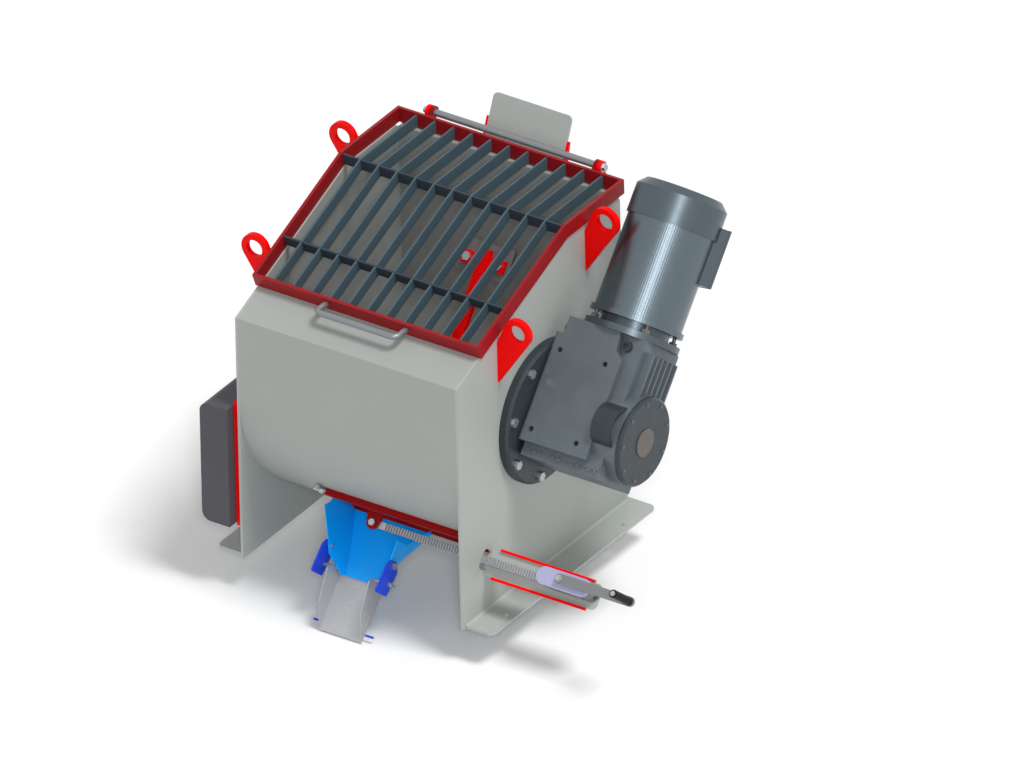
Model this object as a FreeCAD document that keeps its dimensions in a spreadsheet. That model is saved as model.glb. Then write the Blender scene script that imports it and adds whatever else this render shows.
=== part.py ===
"""Trough mixer: bent sheet trough between two foot plates, geared motor, paddle shaft,
hinged grille, hand-cranked discharge gate and discharge chute.

Frame: X runs along the mixing shaft from the control box to the gear unit, Y points to the
back, Z up.  The origin lies under the shaft, midway between the end plates, on the plane
on which the feet stand.

The gear unit, the motor, the outlet and the gate with its crank are built upright about the
shaft, with the motor on top and the outlet straight below, and then tilted back together.
"""
import FreeCAD, Part
import math
import os
import Sketcher

V = FreeCAD.Vector
os.makedirs("parts", exist_ok=True)
doc = FreeCAD.newDocument("TroughMixer")
sheet = doc.addObject("Spreadsheet::Sheet", "Sizes")

SIZES = {
    # end plates and trough
    "body_length": 790.0, "body_depth": 870.0, "plate": 8.0, "axis_height": 541.0,
    "front_top": 826.0, "rear_top": 1056.0, "bend_back": 149.0, "plate_corner": 25.0,
    "foot_width": 95.0, "foot_inset": 14.0, "foot_rear": 12.0, "foot_corner": 22.0,
    "foot_hole": 14.0, "foot_hole_pitch": 305.0, "foot_hole_out": 68.0, "shaft_hole": 92.0,
    "front_strip": 135.0, "rear_lip": 6.0, "rack_slot_wide": 46.0, "rack_slot_high": 64.0,
    "rack_slot_shift": 6.0, "rack_slot_round": 14.0,
    # grille, its handle and its hinge
    "grille_half": 402.0, "grille_front": 313.0, "grille_rear": 449.0, "rail_high": 48.0,
    "rail_thick": 10.0, "seat_gap": 0.3, "bar_count": 11.0, "bar_pitch": 66.0, "bar_thick": 6.0,
    "bar_high": 38.0, "bar_drop": 5.0, "cross_back": 330.0, "cross_thick": 6.0,
    "handle_half": 142.0, "handle_reach": 66.0, "handle_dia": 19.0, "handle_bend": 18.0,
    "handle_drop": 20.0, "hinge_back": 473.0, "tube_dia": 22.0, "tube_half": 286.0,
    "hinge_pin": 12.0, "fit": 0.05, "clearance": 1.0, "lug_thick": 12.0, "lug_round": 19.0,
    "lug_low": 6.0, "lug_foot": 95.0, "lug_weld": 900.0, "hinge_head": 30.0,
    # rest plate behind the hinge
    "rest_width": 278.0, "rest_lean": 24.0, "rest_back": 500.0, "rest_low": 1020.0,
    "rest_long": 170.0, "rest_corner": 16.0, "rest_thick": 6.0, "rest_gusset": 8.0,
    # lifting eyes
    "eye_thick": 18.0, "eye_hole": 56.0, "eye_rim": 18.0, "eye_reach": 72.0, "eye_rise": 189.0,
    "eye_weld": 138.0, "eye_front": 213.0, "eye_front_low": 744.0, "eye_rear": 256.0,
    "eye_rear_low": 889.0,
    # gear unit
    "tilt": 40.0, "flange_dia": 450.0, "flange_thick": 30.0, "flange_circle": 400.0,
    "flange_bolt": 16.0, "case_end": 273.0, "case_half": 133.0, "case_low": 112.0,
    "case_high": 280.0, "case_step": 56.0, "case_notch": 78.0, "case_notch_in": 28.0,
    "side_out": 43.0, "side_half": 108.0, "side_low": 130.0, "fin_thick": 7.0, "fin_gap": 30.0,
    "fin_count": 6.0, "fin_tall": 25.0, "boss_dia": 276.0, "boss_out": 80.0,
    "cover_thick": 15.0, "cap_dia": 88.0, "cap_thick": 3.0, "small_boss": 130.0,
    "small_boss_side": 112.0, "small_boss_up": 9.0, "small_boss_out": 67.0,
    "recess_dia": 110.0, "recess_deep": 18.0, "foot_strip_high": 41.0,
    "foot_strip_half": 104.0, "foot_strip_out": 46.0,
    "case_round": 12.0, "plug_dia": 34.0, "plug_high": 12.0, "tapped_dia": 17.0,
    "tapped_deep": 26.0, "tapped_near": 65.0, "tapped_far": 225.0, "tapped_low": 74.0,
    "tapped_high": 175.0,
    # motor
    "motor_x": 598.0, "adapter_dia": 296.0, "adapter_thick": 20.0, "neck_dia": 214.0,
    "neck_long": 26.0, "motor_dia": 272.0, "motor_flange_dia": 290.0, "motor_flange": 16.0,
    "barrel_long": 290.0, "barrel_bore": 176.0, "shield": 18.0, "rotor_dia": 110.0,
    "motor_shaft": 38.0, "cowl_dia": 284.0, "cowl_long": 115.0, "cowl_wall": 3.0,
    "cowl_hub": 12.0, "slot_start": 42.0, "fan_top": 12.0, "rotor_gap": 12.0,
    "adapter_bolts": 254.0, "nut_across": 24.0, "lid_round": 3.0, "cowl_chamfer": 24.0,
    "cowl_slots": 24.0, "cowl_slot": 8.0, "fan_dia": 230.0, "fan_blades": 8.0, "fan_deep": 46.0,
    "terminal_wide": 150.0, "terminal_out": 157.0, "terminal_low": 497.0,
    "terminal_high": 678.0, "terminal_lid": 8.0, "terminal_turn": 50.0,
    # mixing shaft, paddles and scrapers
    "shaft_dia": 70.0, "sweep_radius": 418.0, "arm_wide": 36.0, "arm_thick": 16.0,
    "arm_pitch": 110.0, "arm_angle": 53.0, "hub_dia": 110.0, "hub_wide": 50.0,
    "paddle_wide": 176.0, "paddle_high": 100.0, "paddle_thick": 10.0, "holder_wide": 150.0,
    "holder_high": 40.0, "holder_thick": 12.0, "paddle_bolt": 16.0, "paddle_bolt_half": 55.0,
    "paddle_bolt_at": 360.0, "scraper_x": 345.0, "scraper_high": 190.0, "scraper_gap": 6.0,
    "bearing_dia": 160.0, "bearing_long": 52.0, "bearing_flange": 16.0, "bearing_wall": 8.0,
    "bearing_square": 180.0, "bearing_bolt_in": 22.0, "bearing_bolt": 14.0,
    "bearing_ring": 110.0, "seal_dia": 120.0, "seal_thick": 12.0,
    # control box
    "box_low": 112.0, "box_high": 404.0, "box_front": 462.0, "box_deep": 300.0,
    "box_inner": 414.0, "box_outer": 512.0, "box_round": 30.0, "box_wall": 4.0, "box_lid": 46.0,
    "box_margin": 10.0,
    # discharge gate with rack, pinion and crank
    "gate_half": 125.0, "gate_thick": 5.0, "gate_gap": 0.5, "gate_angle": 10.6,
    "outlet_half": 115.0, "outlet_angle": 8.8, "guide_angle": 11.0, "guide_start": 144.0,
    "guide_high": 21.0, "guide_thick": 8.0, "guide_lip": 16.0, "rack_radius": 476.0,
    "rack_side": 22.0, "rack_left": 20.0, "rack_right": 746.0, "rack_before": 68.0,
    "rack_gaps": 74.0, "ear_foot": 60.0, "flank": 20.0, "backlash": 1.2, "tooth_module": 3.0,
    "pinion_teeth": 12.0, "pinion_wide": 10.0, "ear_thick": 8.0, "ear_round": 20.0,
    "ear_bolt": 12.0, "tray_end": 790.0, "tray_wide": 80.0, "tray_thick": 5.0,
    "tray_back": 21.0, "tray_down": 478.0, "tray_corner": 20.0, "strip": 8.0,
    "strip_start": 425.0, "strip_end": 758.0, "drive_x": 687.0, "drive_left": 600.0,
    "drive_right": 790.0, "drive_wide": 56.0, "drive_down": 469.0, "crank_down": 465.0,
    "drive_cover": 6.0, "drive_floor": 5.0, "drive_top": 52.0, "mitre": 14.0,
    "crank_radius": 250.0, "crank_wide": 30.0, "crank_thick": 8.0, "crank_shaft": 16.0,
    "grip_dia": 25.0, "grip_long": 108.0, "grip_pin": 10.0,
    # discharge chute and its extension
    "chute_thick": 4.0, "mouth_half": 148.0, "mouth_rear": 188.0, "mouth_front": 358.0,
    "kink_half": 105.0, "kink_front": 400.0, "kink_low": 90.0, "lip_half": 57.0,
    "lip_rear": 388.0, "lip_rear_low": 24.0, "lip_front": 408.0, "lip_front_low": 34.0,
    "bracket_half": 117.0, "bracket_thick": 6.0, "bracket_bolt": 12.0,
    "bracket_bolt_front": 386.0, "bracket_bolt_low": 108.0, "wing_bolt": 12.0,
    "wing_reach": 42.0, "wing_angle": 11.4, "pivot_front": 414.0, "pivot_low": 58.0,
    "pivot_dia": 10.0, "pivot_half": 139.0, "ext_half": 76.0, "ext_long": 176.0,
    "ext_wall_end": 64.0, "ext_slope": 47.6, "ext_thick": 3.0, "ext_front": 384.0,
    "ext_low": 19.4, "rod_dia": 6.0, "rod_half": 107.0, "rod_in": 26.0,
}

for row, (alias, value) in enumerate(SIZES.items(), start=1):
    sheet.set("A%d" % row, alias.replace("_", " "))
    sheet.set("B%d" % row, repr(value))
    sheet.setAlias("B%d" % row, alias)
doc.recompute()


class Size:
    """A size of the sheet, or one worked out from several, as number and as expression."""

    def __init__(self, value, text):
        self.value = value
        self.text = text

    def __float__(self):
        return self.value

    def __neg__(self):
        return Size(-self.value, "-(%s)" % self.text)

    def __add__(self, other):
        other = as_size(other)
        return Size(self.value + other.value, "(%s + %s)" % (self.text, other.text))

    def __sub__(self, other):
        other = as_size(other)
        return Size(self.value - other.value, "(%s - %s)" % (self.text, other.text))

    def __rsub__(self, other):
        return as_size(other) - self

    def __mul__(self, other):
        other = as_size(other)
        return Size(self.value * other.value, "(%s * %s)" % (self.text, other.text))

    def __truediv__(self, other):
        other = as_size(other)
        return Size(self.value / other.value, "(%s / %s)" % (self.text, other.text))

    __radd__ = __add__
    __rmul__ = __mul__


def as_size(number):
    return number if isinstance(number, Size) else Size(float(number), repr(float(number)))


class Bound:
    """The sheet's sizes for use in expressions, as attributes."""

    def __getattr__(self, name):
        return Size(float(sheet.get(name)), "Sizes." + name)


class Plain:
    """The sheet's sizes as plain numbers, as attributes."""

    def __getattr__(self, name):
        return float(sheet.get(name))


def cosine(angle):
    angle = as_size(angle)
    return Size(math.cos(math.radians(angle.value)), "cos((%s) * 1 deg)" % angle.text)


def sine(angle):
    angle = as_size(angle)
    return Size(math.sin(math.radians(angle.value)), "sin((%s) * 1 deg)" % angle.text)


def root(size):
    return Size(math.sqrt(size.value), "sqrt(%s)" % size.text)


s = Bound()
d = Plain()

nodes = []
TILTED = FreeCAD.Placement(V(0, 0, d.axis_height), FreeCAD.Rotation(V(1, 0, 0), -d.tilt))
SLOPE = math.atan2(d.rear_top - d.front_top, d.body_depth / 2 + d.bend_back)


def bind(obj, **sizes):
    """Bind properties of an object to the sheet."""
    for name, size in sizes.items():
        obj.setExpression(name, as_size(size).text)


# Bodies made of sketches and features

def new_body(label, tilted=False, node=True, x=0, out=0, down=0):
    """Body at x along the shaft and, when tilted, at two distances from it."""
    body = doc.addObject("PartDesign::Body", label)
    body.Label = label
    base = {"x": as_size(x)}
    if tilted:
        body.Placement = TILTED
        base["y"] = -(out * cosine(s.tilt)) - down * sine(s.tilt)
        base["z"] = s.axis_height + out * sine(s.tilt) - down * cosine(s.tilt)
    for axis, size in base.items():
        body.setExpression("Placement.Base." + axis, size.text)
    if node:
        nodes.append(body)
    return body


def new_sketch(body, plane, name):
    sketch = body.newObject("Sketcher::SketchObject", name)
    support = [item for item in body.Origin.OriginFeatures if item.Role == plane][0]
    sketch.AttachmentSupport = [(support, "")]
    sketch.MapMode = "FlatFace"
    return sketch


def hold_point(sketch, geometry, position, x, y):
    """Tie a point of a sketch to the sheet by its two distances from the origin."""
    for kind, size in (("DistanceX", as_size(x)), ("DistanceY", as_size(y))):
        constraint = sketch.addConstraint(
            Sketcher.Constraint(kind, -1, 1, geometry, position, size.value))
        sketch.setExpression("Constraints[%d]" % constraint, size.text)


def arc_between(start, end, radius):
    """Arc under half a turn, counter-clockwise from start to end for a positive radius."""
    chord = end - start
    rise = math.sqrt(radius * radius - chord.Length ** 2 / 4)
    left = V(-chord.y, chord.x, 0).normalize() * math.copysign(1, radius)
    centre = (start + end) / 2 + left * rise
    first, last = (start, end) if radius > 0 else (end, start)
    begin = math.atan2(first.y - centre.y, first.x - centre.x)
    finish = math.atan2(last.y - centre.y, last.x - centre.x)
    if finish < begin:
        finish += 2 * math.pi
    return Part.ArcOfCircle(Part.Circle(centre, V(0, 0, 1), abs(radius)), begin, finish)


def add_outline(sketch, corners):
    """Closed outline.  A corner is (x, y), or (x, y, radius) where an arc leaves it."""
    first = sketch.GeometryCount
    count = len(corners)
    points = [V(float(c[0]), float(c[1]), 0) for c in corners]
    ends = []
    for i, corner in enumerate(corners):
        start, end = points[i], points[(i + 1) % count]
        if len(corner) == 2:
            sketch.addGeometry(Part.LineSegment(start, end))
            ends.append((1, 2))
            continue
        radius = as_size(corner[2])
        sketch.addGeometry(arc_between(start, end, radius.value))
        size = radius if radius.value > 0 else -radius
        ends.append((1, 2) if radius.value > 0 else (2, 1))
        constraint = sketch.addConstraint(Sketcher.Constraint("Radius", first + i, size.value))
        sketch.setExpression("Constraints[%d]" % constraint, size.text)
    for i in range(count):
        j = (i + 1) % count
        sketch.addConstraint(
            Sketcher.Constraint("Coincident", first + i, ends[i][1], first + j, ends[j][0]))
    for i, corner in enumerate(corners):
        hold_point(sketch, first + i, ends[i][0], corner[0], corner[1])


def add_circle(sketch, x, y, diameter):
    diameter = as_size(diameter)
    centre = V(float(x), float(y), 0)
    index = sketch.addGeometry(Part.Circle(centre, V(0, 0, 1), diameter.value / 2))
    hold_point(sketch, index, 3, x, y)
    constraint = sketch.addConstraint(Sketcher.Constraint("Diameter", index, diameter.value))
    sketch.setExpression("Constraints[%d]" % constraint, diameter.text)


def pad(body, sketch, length, reverse=False, middle=False):
    feature = body.newObject("PartDesign::Pad", "Pad")
    feature.Profile = sketch
    feature.Reversed = reverse
    if middle:
        feature.SideType = "Symmetric"
    bind(feature, Length=length)
    return feature


def pocket(body, sketch, length=None, reverse=False, middle=False):
    feature = body.newObject("PartDesign::Pocket", "Pocket")
    feature.Profile = sketch
    feature.Reversed = reverse
    if middle:
        feature.SideType = "Symmetric"
    if length is None:
        feature.Type = "ThroughAll"
    else:
        bind(feature, Length=length)
    doc.recompute()
    before = feature.BaseFeature.Shape.Volume
    if feature.Shape.Volume >= before - 1.0:
        raise RuntimeError("%s: a pocket cuts nothing" % body.Label)
    return feature


def revolve(body, sketch, axis):
    feature = body.newObject("PartDesign::Revolution", "Revolution")
    feature.Profile = sketch
    feature.ReferenceAxis = (sketch, [axis])
    feature.Angle = 360.0
    return feature


def linear(body, original, role, length, count):
    feature = body.newObject("PartDesign::LinearPattern", "Pattern")
    feature.Originals = [original]
    axis = [item for item in body.Origin.OriginFeatures if item.Role == role][0]
    feature.Direction = (axis, [""])
    bind(feature, Length=length, Occurrences=count)
    body.Tip = feature
    return feature


def polar(body, original, role, count):
    feature = body.newObject("PartDesign::PolarPattern", "Pattern")
    feature.Originals = [original]
    axis = [item for item in body.Origin.OriginFeatures if item.Role == role][0]
    feature.Axis = (axis, [""])
    feature.Angle = 360.0
    feature.setExpression("Occurrences", as_size(count).text)
    body.Tip = feature
    return feature


def round_edges(body, radius, chosen):
    """Fillet the edges of a body's last feature for which chosen(edge) is true."""
    doc.recompute()
    tip = body.Tip
    names = ["Edge%d" % (i + 1) for i, edge in enumerate(tip.Shape.Edges) if chosen(edge)]
    feature = body.newObject("PartDesign::Fillet", "Round")
    feature.Base = (tip, names)
    bind(feature, Radius=radius)
    return feature


def along(edge, axis):
    """True for a straight edge parallel to an axis, given as 0, 1 or 2."""
    box = edge.BoundBox
    spans = (box.XLength, box.YLength, box.ZLength)
    return all((span > 1e-6) == (i == axis) for i, span in enumerate(spans))


def at(edge, **place):
    """True where the middle of an edge lies at the given coordinates."""
    middle = edge.BoundBox.Center
    return all(abs(getattr(middle, axis) - float(value)) < 0.5 for axis, value in place.items())


# Groups and free forms set as shapes

def free_form(label, shape, tilted=False):
    feature = doc.addObject("Part::Feature", label)
    feature.Label = label
    feature.Shape = shape
    if tilted:
        feature.Placement = TILTED.multiply(shape.Placement)
    nodes.append(feature)
    return feature


def box(x, y, z):
    """Box from the three pairs of limits."""
    return Part.makeBox(x[1] - x[0], y[1] - y[0], z[1] - z[0], V(x[0], y[0], z[0]))


def rod(start, direction, diameter, length):
    return Part.makeCylinder(diameter / 2, length, V(*start), V(*direction))


def ring(start, direction, outer, inner, length):
    return rod(start, direction, outer, length).cut(rod(start, direction, inner, length))


def prism(points, span):
    """Polygon of 3-D points, swept by a vector."""
    wire = Part.makePolygon([V(*p) for p in points] + [V(*points[0])])
    return Part.Face(wire).extrude(V(*span))


def hexagon(start, direction, across, height):
    """Six-sided head or nut standing on its start point."""
    radius = across / math.sqrt(3)
    corners = [V(radius * math.cos(math.pi * i / 3), radius * math.sin(math.pi * i / 3), 0)
               for i in range(7)]
    head = Part.Face(Part.makePolygon(corners)).extrude(V(0, 0, height))
    turn = FreeCAD.Rotation(V(0, 0, 1), V(*direction))
    head.Placement = FreeCAD.Placement(V(*start), turn)
    return head


def bolt(seat, direction, diameter, shank, head=0.65):
    """Bolt whose head stands on its seat against the direction in which the shank runs."""
    back = V(*direction) * -1
    top = hexagon(seat, tuple(back), 1.6 * diameter, head * diameter)
    return top.fuse(rod(seat, direction, diameter, shank)).removeSplitter()


def joined(shapes):
    return shapes[0].fuse(shapes[1:]).removeSplitter()


def group(shapes):
    return Part.makeCompound(shapes)


def ear(low, high, centre, radius, hole, thick):
    """Plate from a straight foot to a round eye, in its own plane and thick about it."""
    touch = []
    for foot, side in ((low, 1), (high, -1)):
        gap = centre - foot
        heading = math.atan2(gap.y, gap.x) - side * math.asin(radius / gap.Length)
        normal = heading - side * math.pi / 2
        touch.append(centre + V(math.cos(normal), math.sin(normal), 0) * radius)
    half = V(0, 0, thick / 2)
    web = prism([p - half for p in (low, touch[0], centre, touch[1], high)], half * 2)
    eye = rod(centre - half, (0, 0, 1), 2 * radius, thick)
    return joined([web, eye]).cut(rod(centre - half, (0, 0, 1), hole, thick))


UPRIGHT = FreeCAD.Rotation(V(1, 0, 0), 90)        # drawing plane stands across the machine
SIDEWAYS = FreeCAD.Rotation(V(1, 1, 1), 120)      # drawing plane stands along the machine


# End plates

def end_plate(label, side, holes):
    """End plate with its foot bent outwards, on the side of positive or negative X."""
    half = s.body_depth / 2
    body = new_body(label, x=side * (s.body_length / 2 - s.plate))
    outline = new_sketch(body, "YZ_Plane", "Outline")
    add_outline(outline, [(-half, 0), (half, 0), (half, s.rear_top),
                          (s.bend_back, s.rear_top), (-half, s.front_top)])
    pad(body, outline, s.plate, reverse=side < 0)
    reach = side * (s.plate + s.foot_width)
    foot_half = half - s.foot_inset
    foot = new_sketch(body, "XY_Plane", "Foot")
    foot_end = half + s.foot_rear
    add_outline(foot, [(0, -foot_half), (reach, -foot_half), (reach, foot_end),
                       (0, foot_end)])
    pad(body, foot, s.plate)
    round_edges(body, s.plate, lambda edge: along(edge, 1)
                and at(edge, x=side * d.plate, z=d.plate))
    round_edges(body, s.foot_corner, lambda edge: along(edge, 2) and at(edge, x=reach))
    round_edges(body, s.plate_corner, lambda edge: along(edge, 0)
                and at(edge, y=half, z=s.rear_top))
    bolts = new_sketch(body, "XY_Plane", "Foot holes")
    for step in (-1, 0, 1):
        add_circle(bolts, side * (s.plate + s.foot_hole_out), step * s.foot_hole_pitch,
                   s.foot_hole)
    pocket(body, bolts, reverse=True)
    shaft = new_sketch(body, "YZ_Plane", "Shaft hole")
    add_circle(shaft, 0, s.axis_height, s.shaft_hole)
    pocket(body, shaft, reverse=side > 0)
    bolts = new_sketch(body, "YZ_Plane", "Bolt holes")
    for y, z, diameter in holes:
        add_circle(bolts, y, s.axis_height + z, diameter)
    pocket(body, bolts, reverse=side > 0)
    return body


def flange_points(turn):
    """Flange bolts round the shaft, without the two that the housing would cover."""
    step = 45.0
    angles = [turn + (index + 0.5) * step for index in range(1, 7)]
    return [(s.flange_circle / 2 * sine(a), s.flange_circle / 2 * cosine(a)) for a in angles]


def make_end_plates():
    holes = [point + (s.flange_bolt,) for point in flange_points(s.tilt)]
    right = end_plate("right_end_plate", 1, holes)
    slot = new_sketch(right, "YZ_Plane", "Rack slot")
    along_y, along_z = sine(s.tilt), cosine(s.tilt)
    high, wide = s.rack_slot_high / 2, s.rack_slot_wide / 2
    corners = []
    for far, front in ((-1, -1), (1, -1), (1, 1), (-1, 1)):
        reach = s.rack_radius + far * high
        shift = s.rack_slot_shift + front * wide
        corners.append((-(reach * along_y) - shift * along_z,
                        s.axis_height - reach * along_z + shift * along_y))
    add_outline(slot, corners)
    pocket(right, slot, reverse=True)
    round_edges(right, s.rack_slot_round, lambda edge: along(edge, 0) and any(
        at(edge, y=y, z=z) for y, z in corners))
    offset = s.bearing_square / 2 - s.bearing_bolt_in
    holes = [(y * offset, z * offset, s.bearing_bolt) for y in (-1, 1) for z in (-1, 1)]
    end_plate("left_end_plate", -1, holes)


# Trough

def make_trough():
    """Sheet bent to a trough, with its sloping strip at the front, cut out for the gate."""
    half = s.body_depth / 2
    inner = half - s.plate
    rise = (s.rear_top - s.front_top) / (half + s.bend_back)
    sheet_high = s.plate * root(1 + rise * rise)
    strip_end = s.front_strip - half
    strip_top = s.front_top + s.front_strip * rise
    top = s.rear_top - s.rear_lip
    body = new_body("bent_sheet", node=False)
    section = new_sketch(body, "YZ_Plane", "Section")
    add_outline(section, [
        (-half, s.axis_height, half), (0, s.axis_height - half, half),
        (half, s.axis_height), (half, top), (inner, top), (inner, s.axis_height, -inner),
        (0, s.axis_height - inner, -inner), (-inner, s.axis_height),
        (-inner, s.front_top + s.plate * rise - sheet_high),
        (strip_end, strip_top - sheet_high), (strip_end, strip_top), (-half, s.front_top)])
    pad(body, section, s.body_length - 2 * s.plate, middle=True)
    wide = 2 * d.outlet_half
    deep = d.body_depth * math.sin(math.radians(d.outlet_angle))
    cutter = doc.addObject("Part::Box", "outlet_cutter")
    bind(cutter, Length=2 * s.outlet_half, Width=s.body_depth * sine(s.outlet_angle),
         Height=4 * s.plate)
    corner = V(-wide / 2, -deep / 2, -d.body_depth / 2 - d.plate)
    cutter.Placement = TILTED.multiply(FreeCAD.Placement(corner, FreeCAD.Rotation()))
    shell = doc.addObject("Part::Cut", "trough_shell")
    shell.Label = "trough_shell"
    shell.Base = body
    shell.Tool = cutter
    nodes.append(shell)


def make_lifting_eyes():
    wall = d.body_length / 2
    eyes = []
    for side in (-1, 1):
        for y, low in ((-d.eye_front, d.eye_front_low), (d.eye_rear, d.eye_rear_low)):
            eye = ear(V(wall, low, 0), V(wall, low + d.eye_weld, 0),
                      V(wall + d.eye_reach, low + d.eye_rise, 0),
                      d.eye_hole / 2 + d.eye_rim, d.eye_hole, d.eye_thick)
            turn = FreeCAD.Rotation(V(0, 0, 1), 0 if side > 0 else 180).multiply(UPRIGHT)
            eye.Placement = FreeCAD.Placement(V(0, y, 0), turn)
            eyes.append(eye)
    free_form("lifting_eyes", group(eyes))


# Grille with its hinge

def grille_place(back, lean):
    """Place on the underside of the grille, measured down the slope from its bend."""
    y = d.bend_back - back * math.cos(SLOPE)
    z = d.rear_top + d.seat_gap - back * math.sin(SLOPE)
    return FreeCAD.Placement(V(0, y, z), FreeCAD.Rotation(V(1, 0, 0), math.degrees(lean)))


def grille_strip(low, high, front, rear, x):
    """Bent strip between two heights over the underside, from the front to the rear."""
    points = []
    for height in (low, high):
        bend = grille_place(0, 0).Base + V(0, -height * math.tan(SLOPE / 2), height)
        ends = [grille_place(front, SLOPE).multVec(V(0, 0, height)), bend,
                V(0, rear, d.rear_top + d.seat_gap + height)]
        points += ends if height == low else ends[::-1]
    return prism([V(x[0], p.y, p.z) for p in points], V(x[1] - x[0], 0, 0))


def bent_rod(points, radius, diameter):
    """Round rod along straight runs joined by bends."""
    edges = []
    start = points[0]
    for before, corner, after in zip(points, points[1:], points[2:]):
        inward = (before - corner).normalize()
        onward = (after - corner).normalize()
        cut = radius / math.tan(inward.getAngle(onward) / 2)
        first, last = corner + inward * cut, corner + onward * cut
        bisector = (inward + onward).normalize()
        middle = corner + bisector * (math.hypot(cut, radius) - radius)
        edges += [Part.LineSegment(start, first).toShape(),
                  Part.Arc(first, middle, last).toShape()]
        start = last
    edges.append(Part.LineSegment(start, points[-1]).toShape())
    profile = Part.Wire(Part.makeCircle(diameter / 2, points[0], points[1] - points[0]))
    return Part.Wire(edges).makePipeShell([profile], True, False)


def make_grille():
    inner = d.grille_half - d.rail_thick
    front = (d.bend_back + d.grille_front) / math.cos(SLOPE)
    back = d.grille_rear
    rails = [grille_strip(0, d.rail_high, front, back, span)
             for span in ((-d.grille_half, -inner), (inner, d.grille_half))]
    front_rail = box((-inner, inner), (0, d.rail_thick), (0, d.rail_high))
    front_rail.Placement = grille_place(front, SLOPE)
    rear_rail = box((-inner, inner), (back - d.rail_thick, back), (0, d.rail_high))
    rear_rail.translate(V(0, 0, d.rear_top + d.seat_gap))
    frame = joined(rails + [front_rail, rear_rail])
    free_form("grille_frame", frame)

    low = d.rail_high - d.bar_drop - d.bar_high
    high = low + d.bar_high
    slabs = []
    uppers = []
    for place in (grille_place(0, SLOPE / 2), grille_place(d.cross_back, SLOPE)):
        for slabs_or_uppers, bottom in ((slabs, low), (uppers, low + d.bar_high / 2)):
            slab = box((-inner, inner), (-d.cross_thick / 2, d.cross_thick / 2),
                       (bottom, high))
            slab.Placement = place
            slabs_or_uppers.append(slab)
    bars = []
    for i in range(int(d.bar_count)):
        x = (i - (int(d.bar_count) - 1) / 2) * d.bar_pitch
        bar = grille_strip(low, high, front - d.rail_thick, back - d.rail_thick,
                           (x - d.bar_thick / 2, x + d.bar_thick / 2))
        bars.append(bar.cut(uppers))
    free_form("grille_bars", group(bars))
    free_form("grille_cross_bars", group([slab.cut(bars) for slab in slabs]))

    rail_y = grille_place(front, SLOPE).Base.y
    grip_z = grille_place(front, SLOPE).multVec(V(0, 0, d.rail_high)).z - d.handle_drop
    out = -d.grille_front - d.handle_reach
    path = [V(-d.handle_half, rail_y, grip_z), V(-d.handle_half, out, grip_z),
            V(d.handle_half, out, grip_z), V(d.handle_half, rail_y, grip_z)]
    handle = bent_rod(path, d.handle_bend, d.handle_dia).cut(frame)
    outer = max(handle.Solids, key=lambda solid: solid.Volume)
    free_form("grille_handle", outer)


def make_hinge():
    axis = V(d.hinge_back, d.rear_top + d.seat_gap + d.rail_high, 0)
    bore = d.hinge_pin + 2 * d.fit
    lug_in = d.tube_half
    lug_out = lug_in + d.lug_thick
    fixed_in = lug_out + d.clearance
    fixed_out = fixed_in + d.lug_thick
    free_form("hinge_tube", ring((-d.tube_half, axis.x, axis.y), (1, 0, 0), d.tube_dia,
                                 d.hinge_pin + 2 * d.clearance, 2 * d.tube_half))
    rail_low = V(d.grille_rear, axis.y - d.rail_high + d.lug_low, 0)
    moving = ear(rail_low, V(d.grille_rear, axis.y - d.clearance, 0), axis, d.lug_round, bore,
                 d.lug_thick)
    wall = d.body_depth / 2
    fixed = ear(V(wall, d.lug_weld - d.lug_foot, 0), V(wall, d.lug_weld, 0), axis, d.lug_round,
                d.hinge_pin, d.lug_thick)
    sets = {"grille_lugs": [], "hinge_brackets": []}
    bolts = []
    for side in (-1, 1):
        for label, plate, near, far in (("grille_lugs", moving, lug_in, lug_out),
                                        ("hinge_brackets", fixed, fixed_in, fixed_out)):
            lug = plate.copy()
            lug.Placement = FreeCAD.Placement(V(side * (near + far) / 2, 0, 0), SIDEWAYS)
            sets[label].append(lug)
        washer = d.hinge_head / 8
        seat = (side * (fixed_out + washer), axis.x, axis.y)
        shank = fixed_out + washer - lug_in + d.lug_thick
        inward = (-side, 0, 0)
        pin = bolt(seat, inward, d.hinge_pin, shank)
        disc = rod(seat, inward, d.hinge_head, washer)
        bolts.append(joined([pin, disc]))
    free_form("grille_lugs", group(sets["grille_lugs"]))
    make_rest_plate(sets["hinge_brackets"])
    free_form("hinge_bolts", group(bolts))


def make_rest_plate(hinge_brackets):
    """Plate that catches the opened grille, and the brackets behind the trough."""
    lean = math.radians(d.rest_lean)
    up = V(0, math.sin(lean), math.cos(lean))
    back = V(0, math.cos(lean), -math.sin(lean))
    foot = V(0, d.rest_back, d.rest_low)
    body = new_body("rest_plate")
    outline = new_sketch(body, "XZ_Plane", "Outline")
    half = s.rest_width / 2
    add_outline(outline, [(-half, 0), (half, 0), (half, s.rest_long), (-half, s.rest_long)])
    pad(body, outline, s.rest_thick, reverse=True)
    round_edges(body, s.rest_corner, lambda edge: along(edge, 1) and at(edge, z=s.rest_long))
    body.Placement = FreeCAD.Placement(foot, FreeCAD.Rotation(V(1, 0, 0), -d.rest_lean))
    wall = d.body_depth / 2
    top = d.rear_top - d.rear_lip - d.clearance
    edge = foot + back * d.rest_gusset
    plates = []
    for side in (-1, 1):
        near = side * d.rest_width / 2
        corners = [V(0, wall, top - d.lug_foot), V(0, wall, top), foot + up * 10,
                   foot + up * d.rest_long * 0.55, edge + up * d.rest_long * 0.55,
                   edge + back * d.rest_gusset * 2]
        plates.append(prism([V(near, p.y, p.z) for p in corners],
                            V(side * d.rest_gusset, 0, 0)))
    free_form("rear_brackets", group(hinge_brackets + plates))


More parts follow.
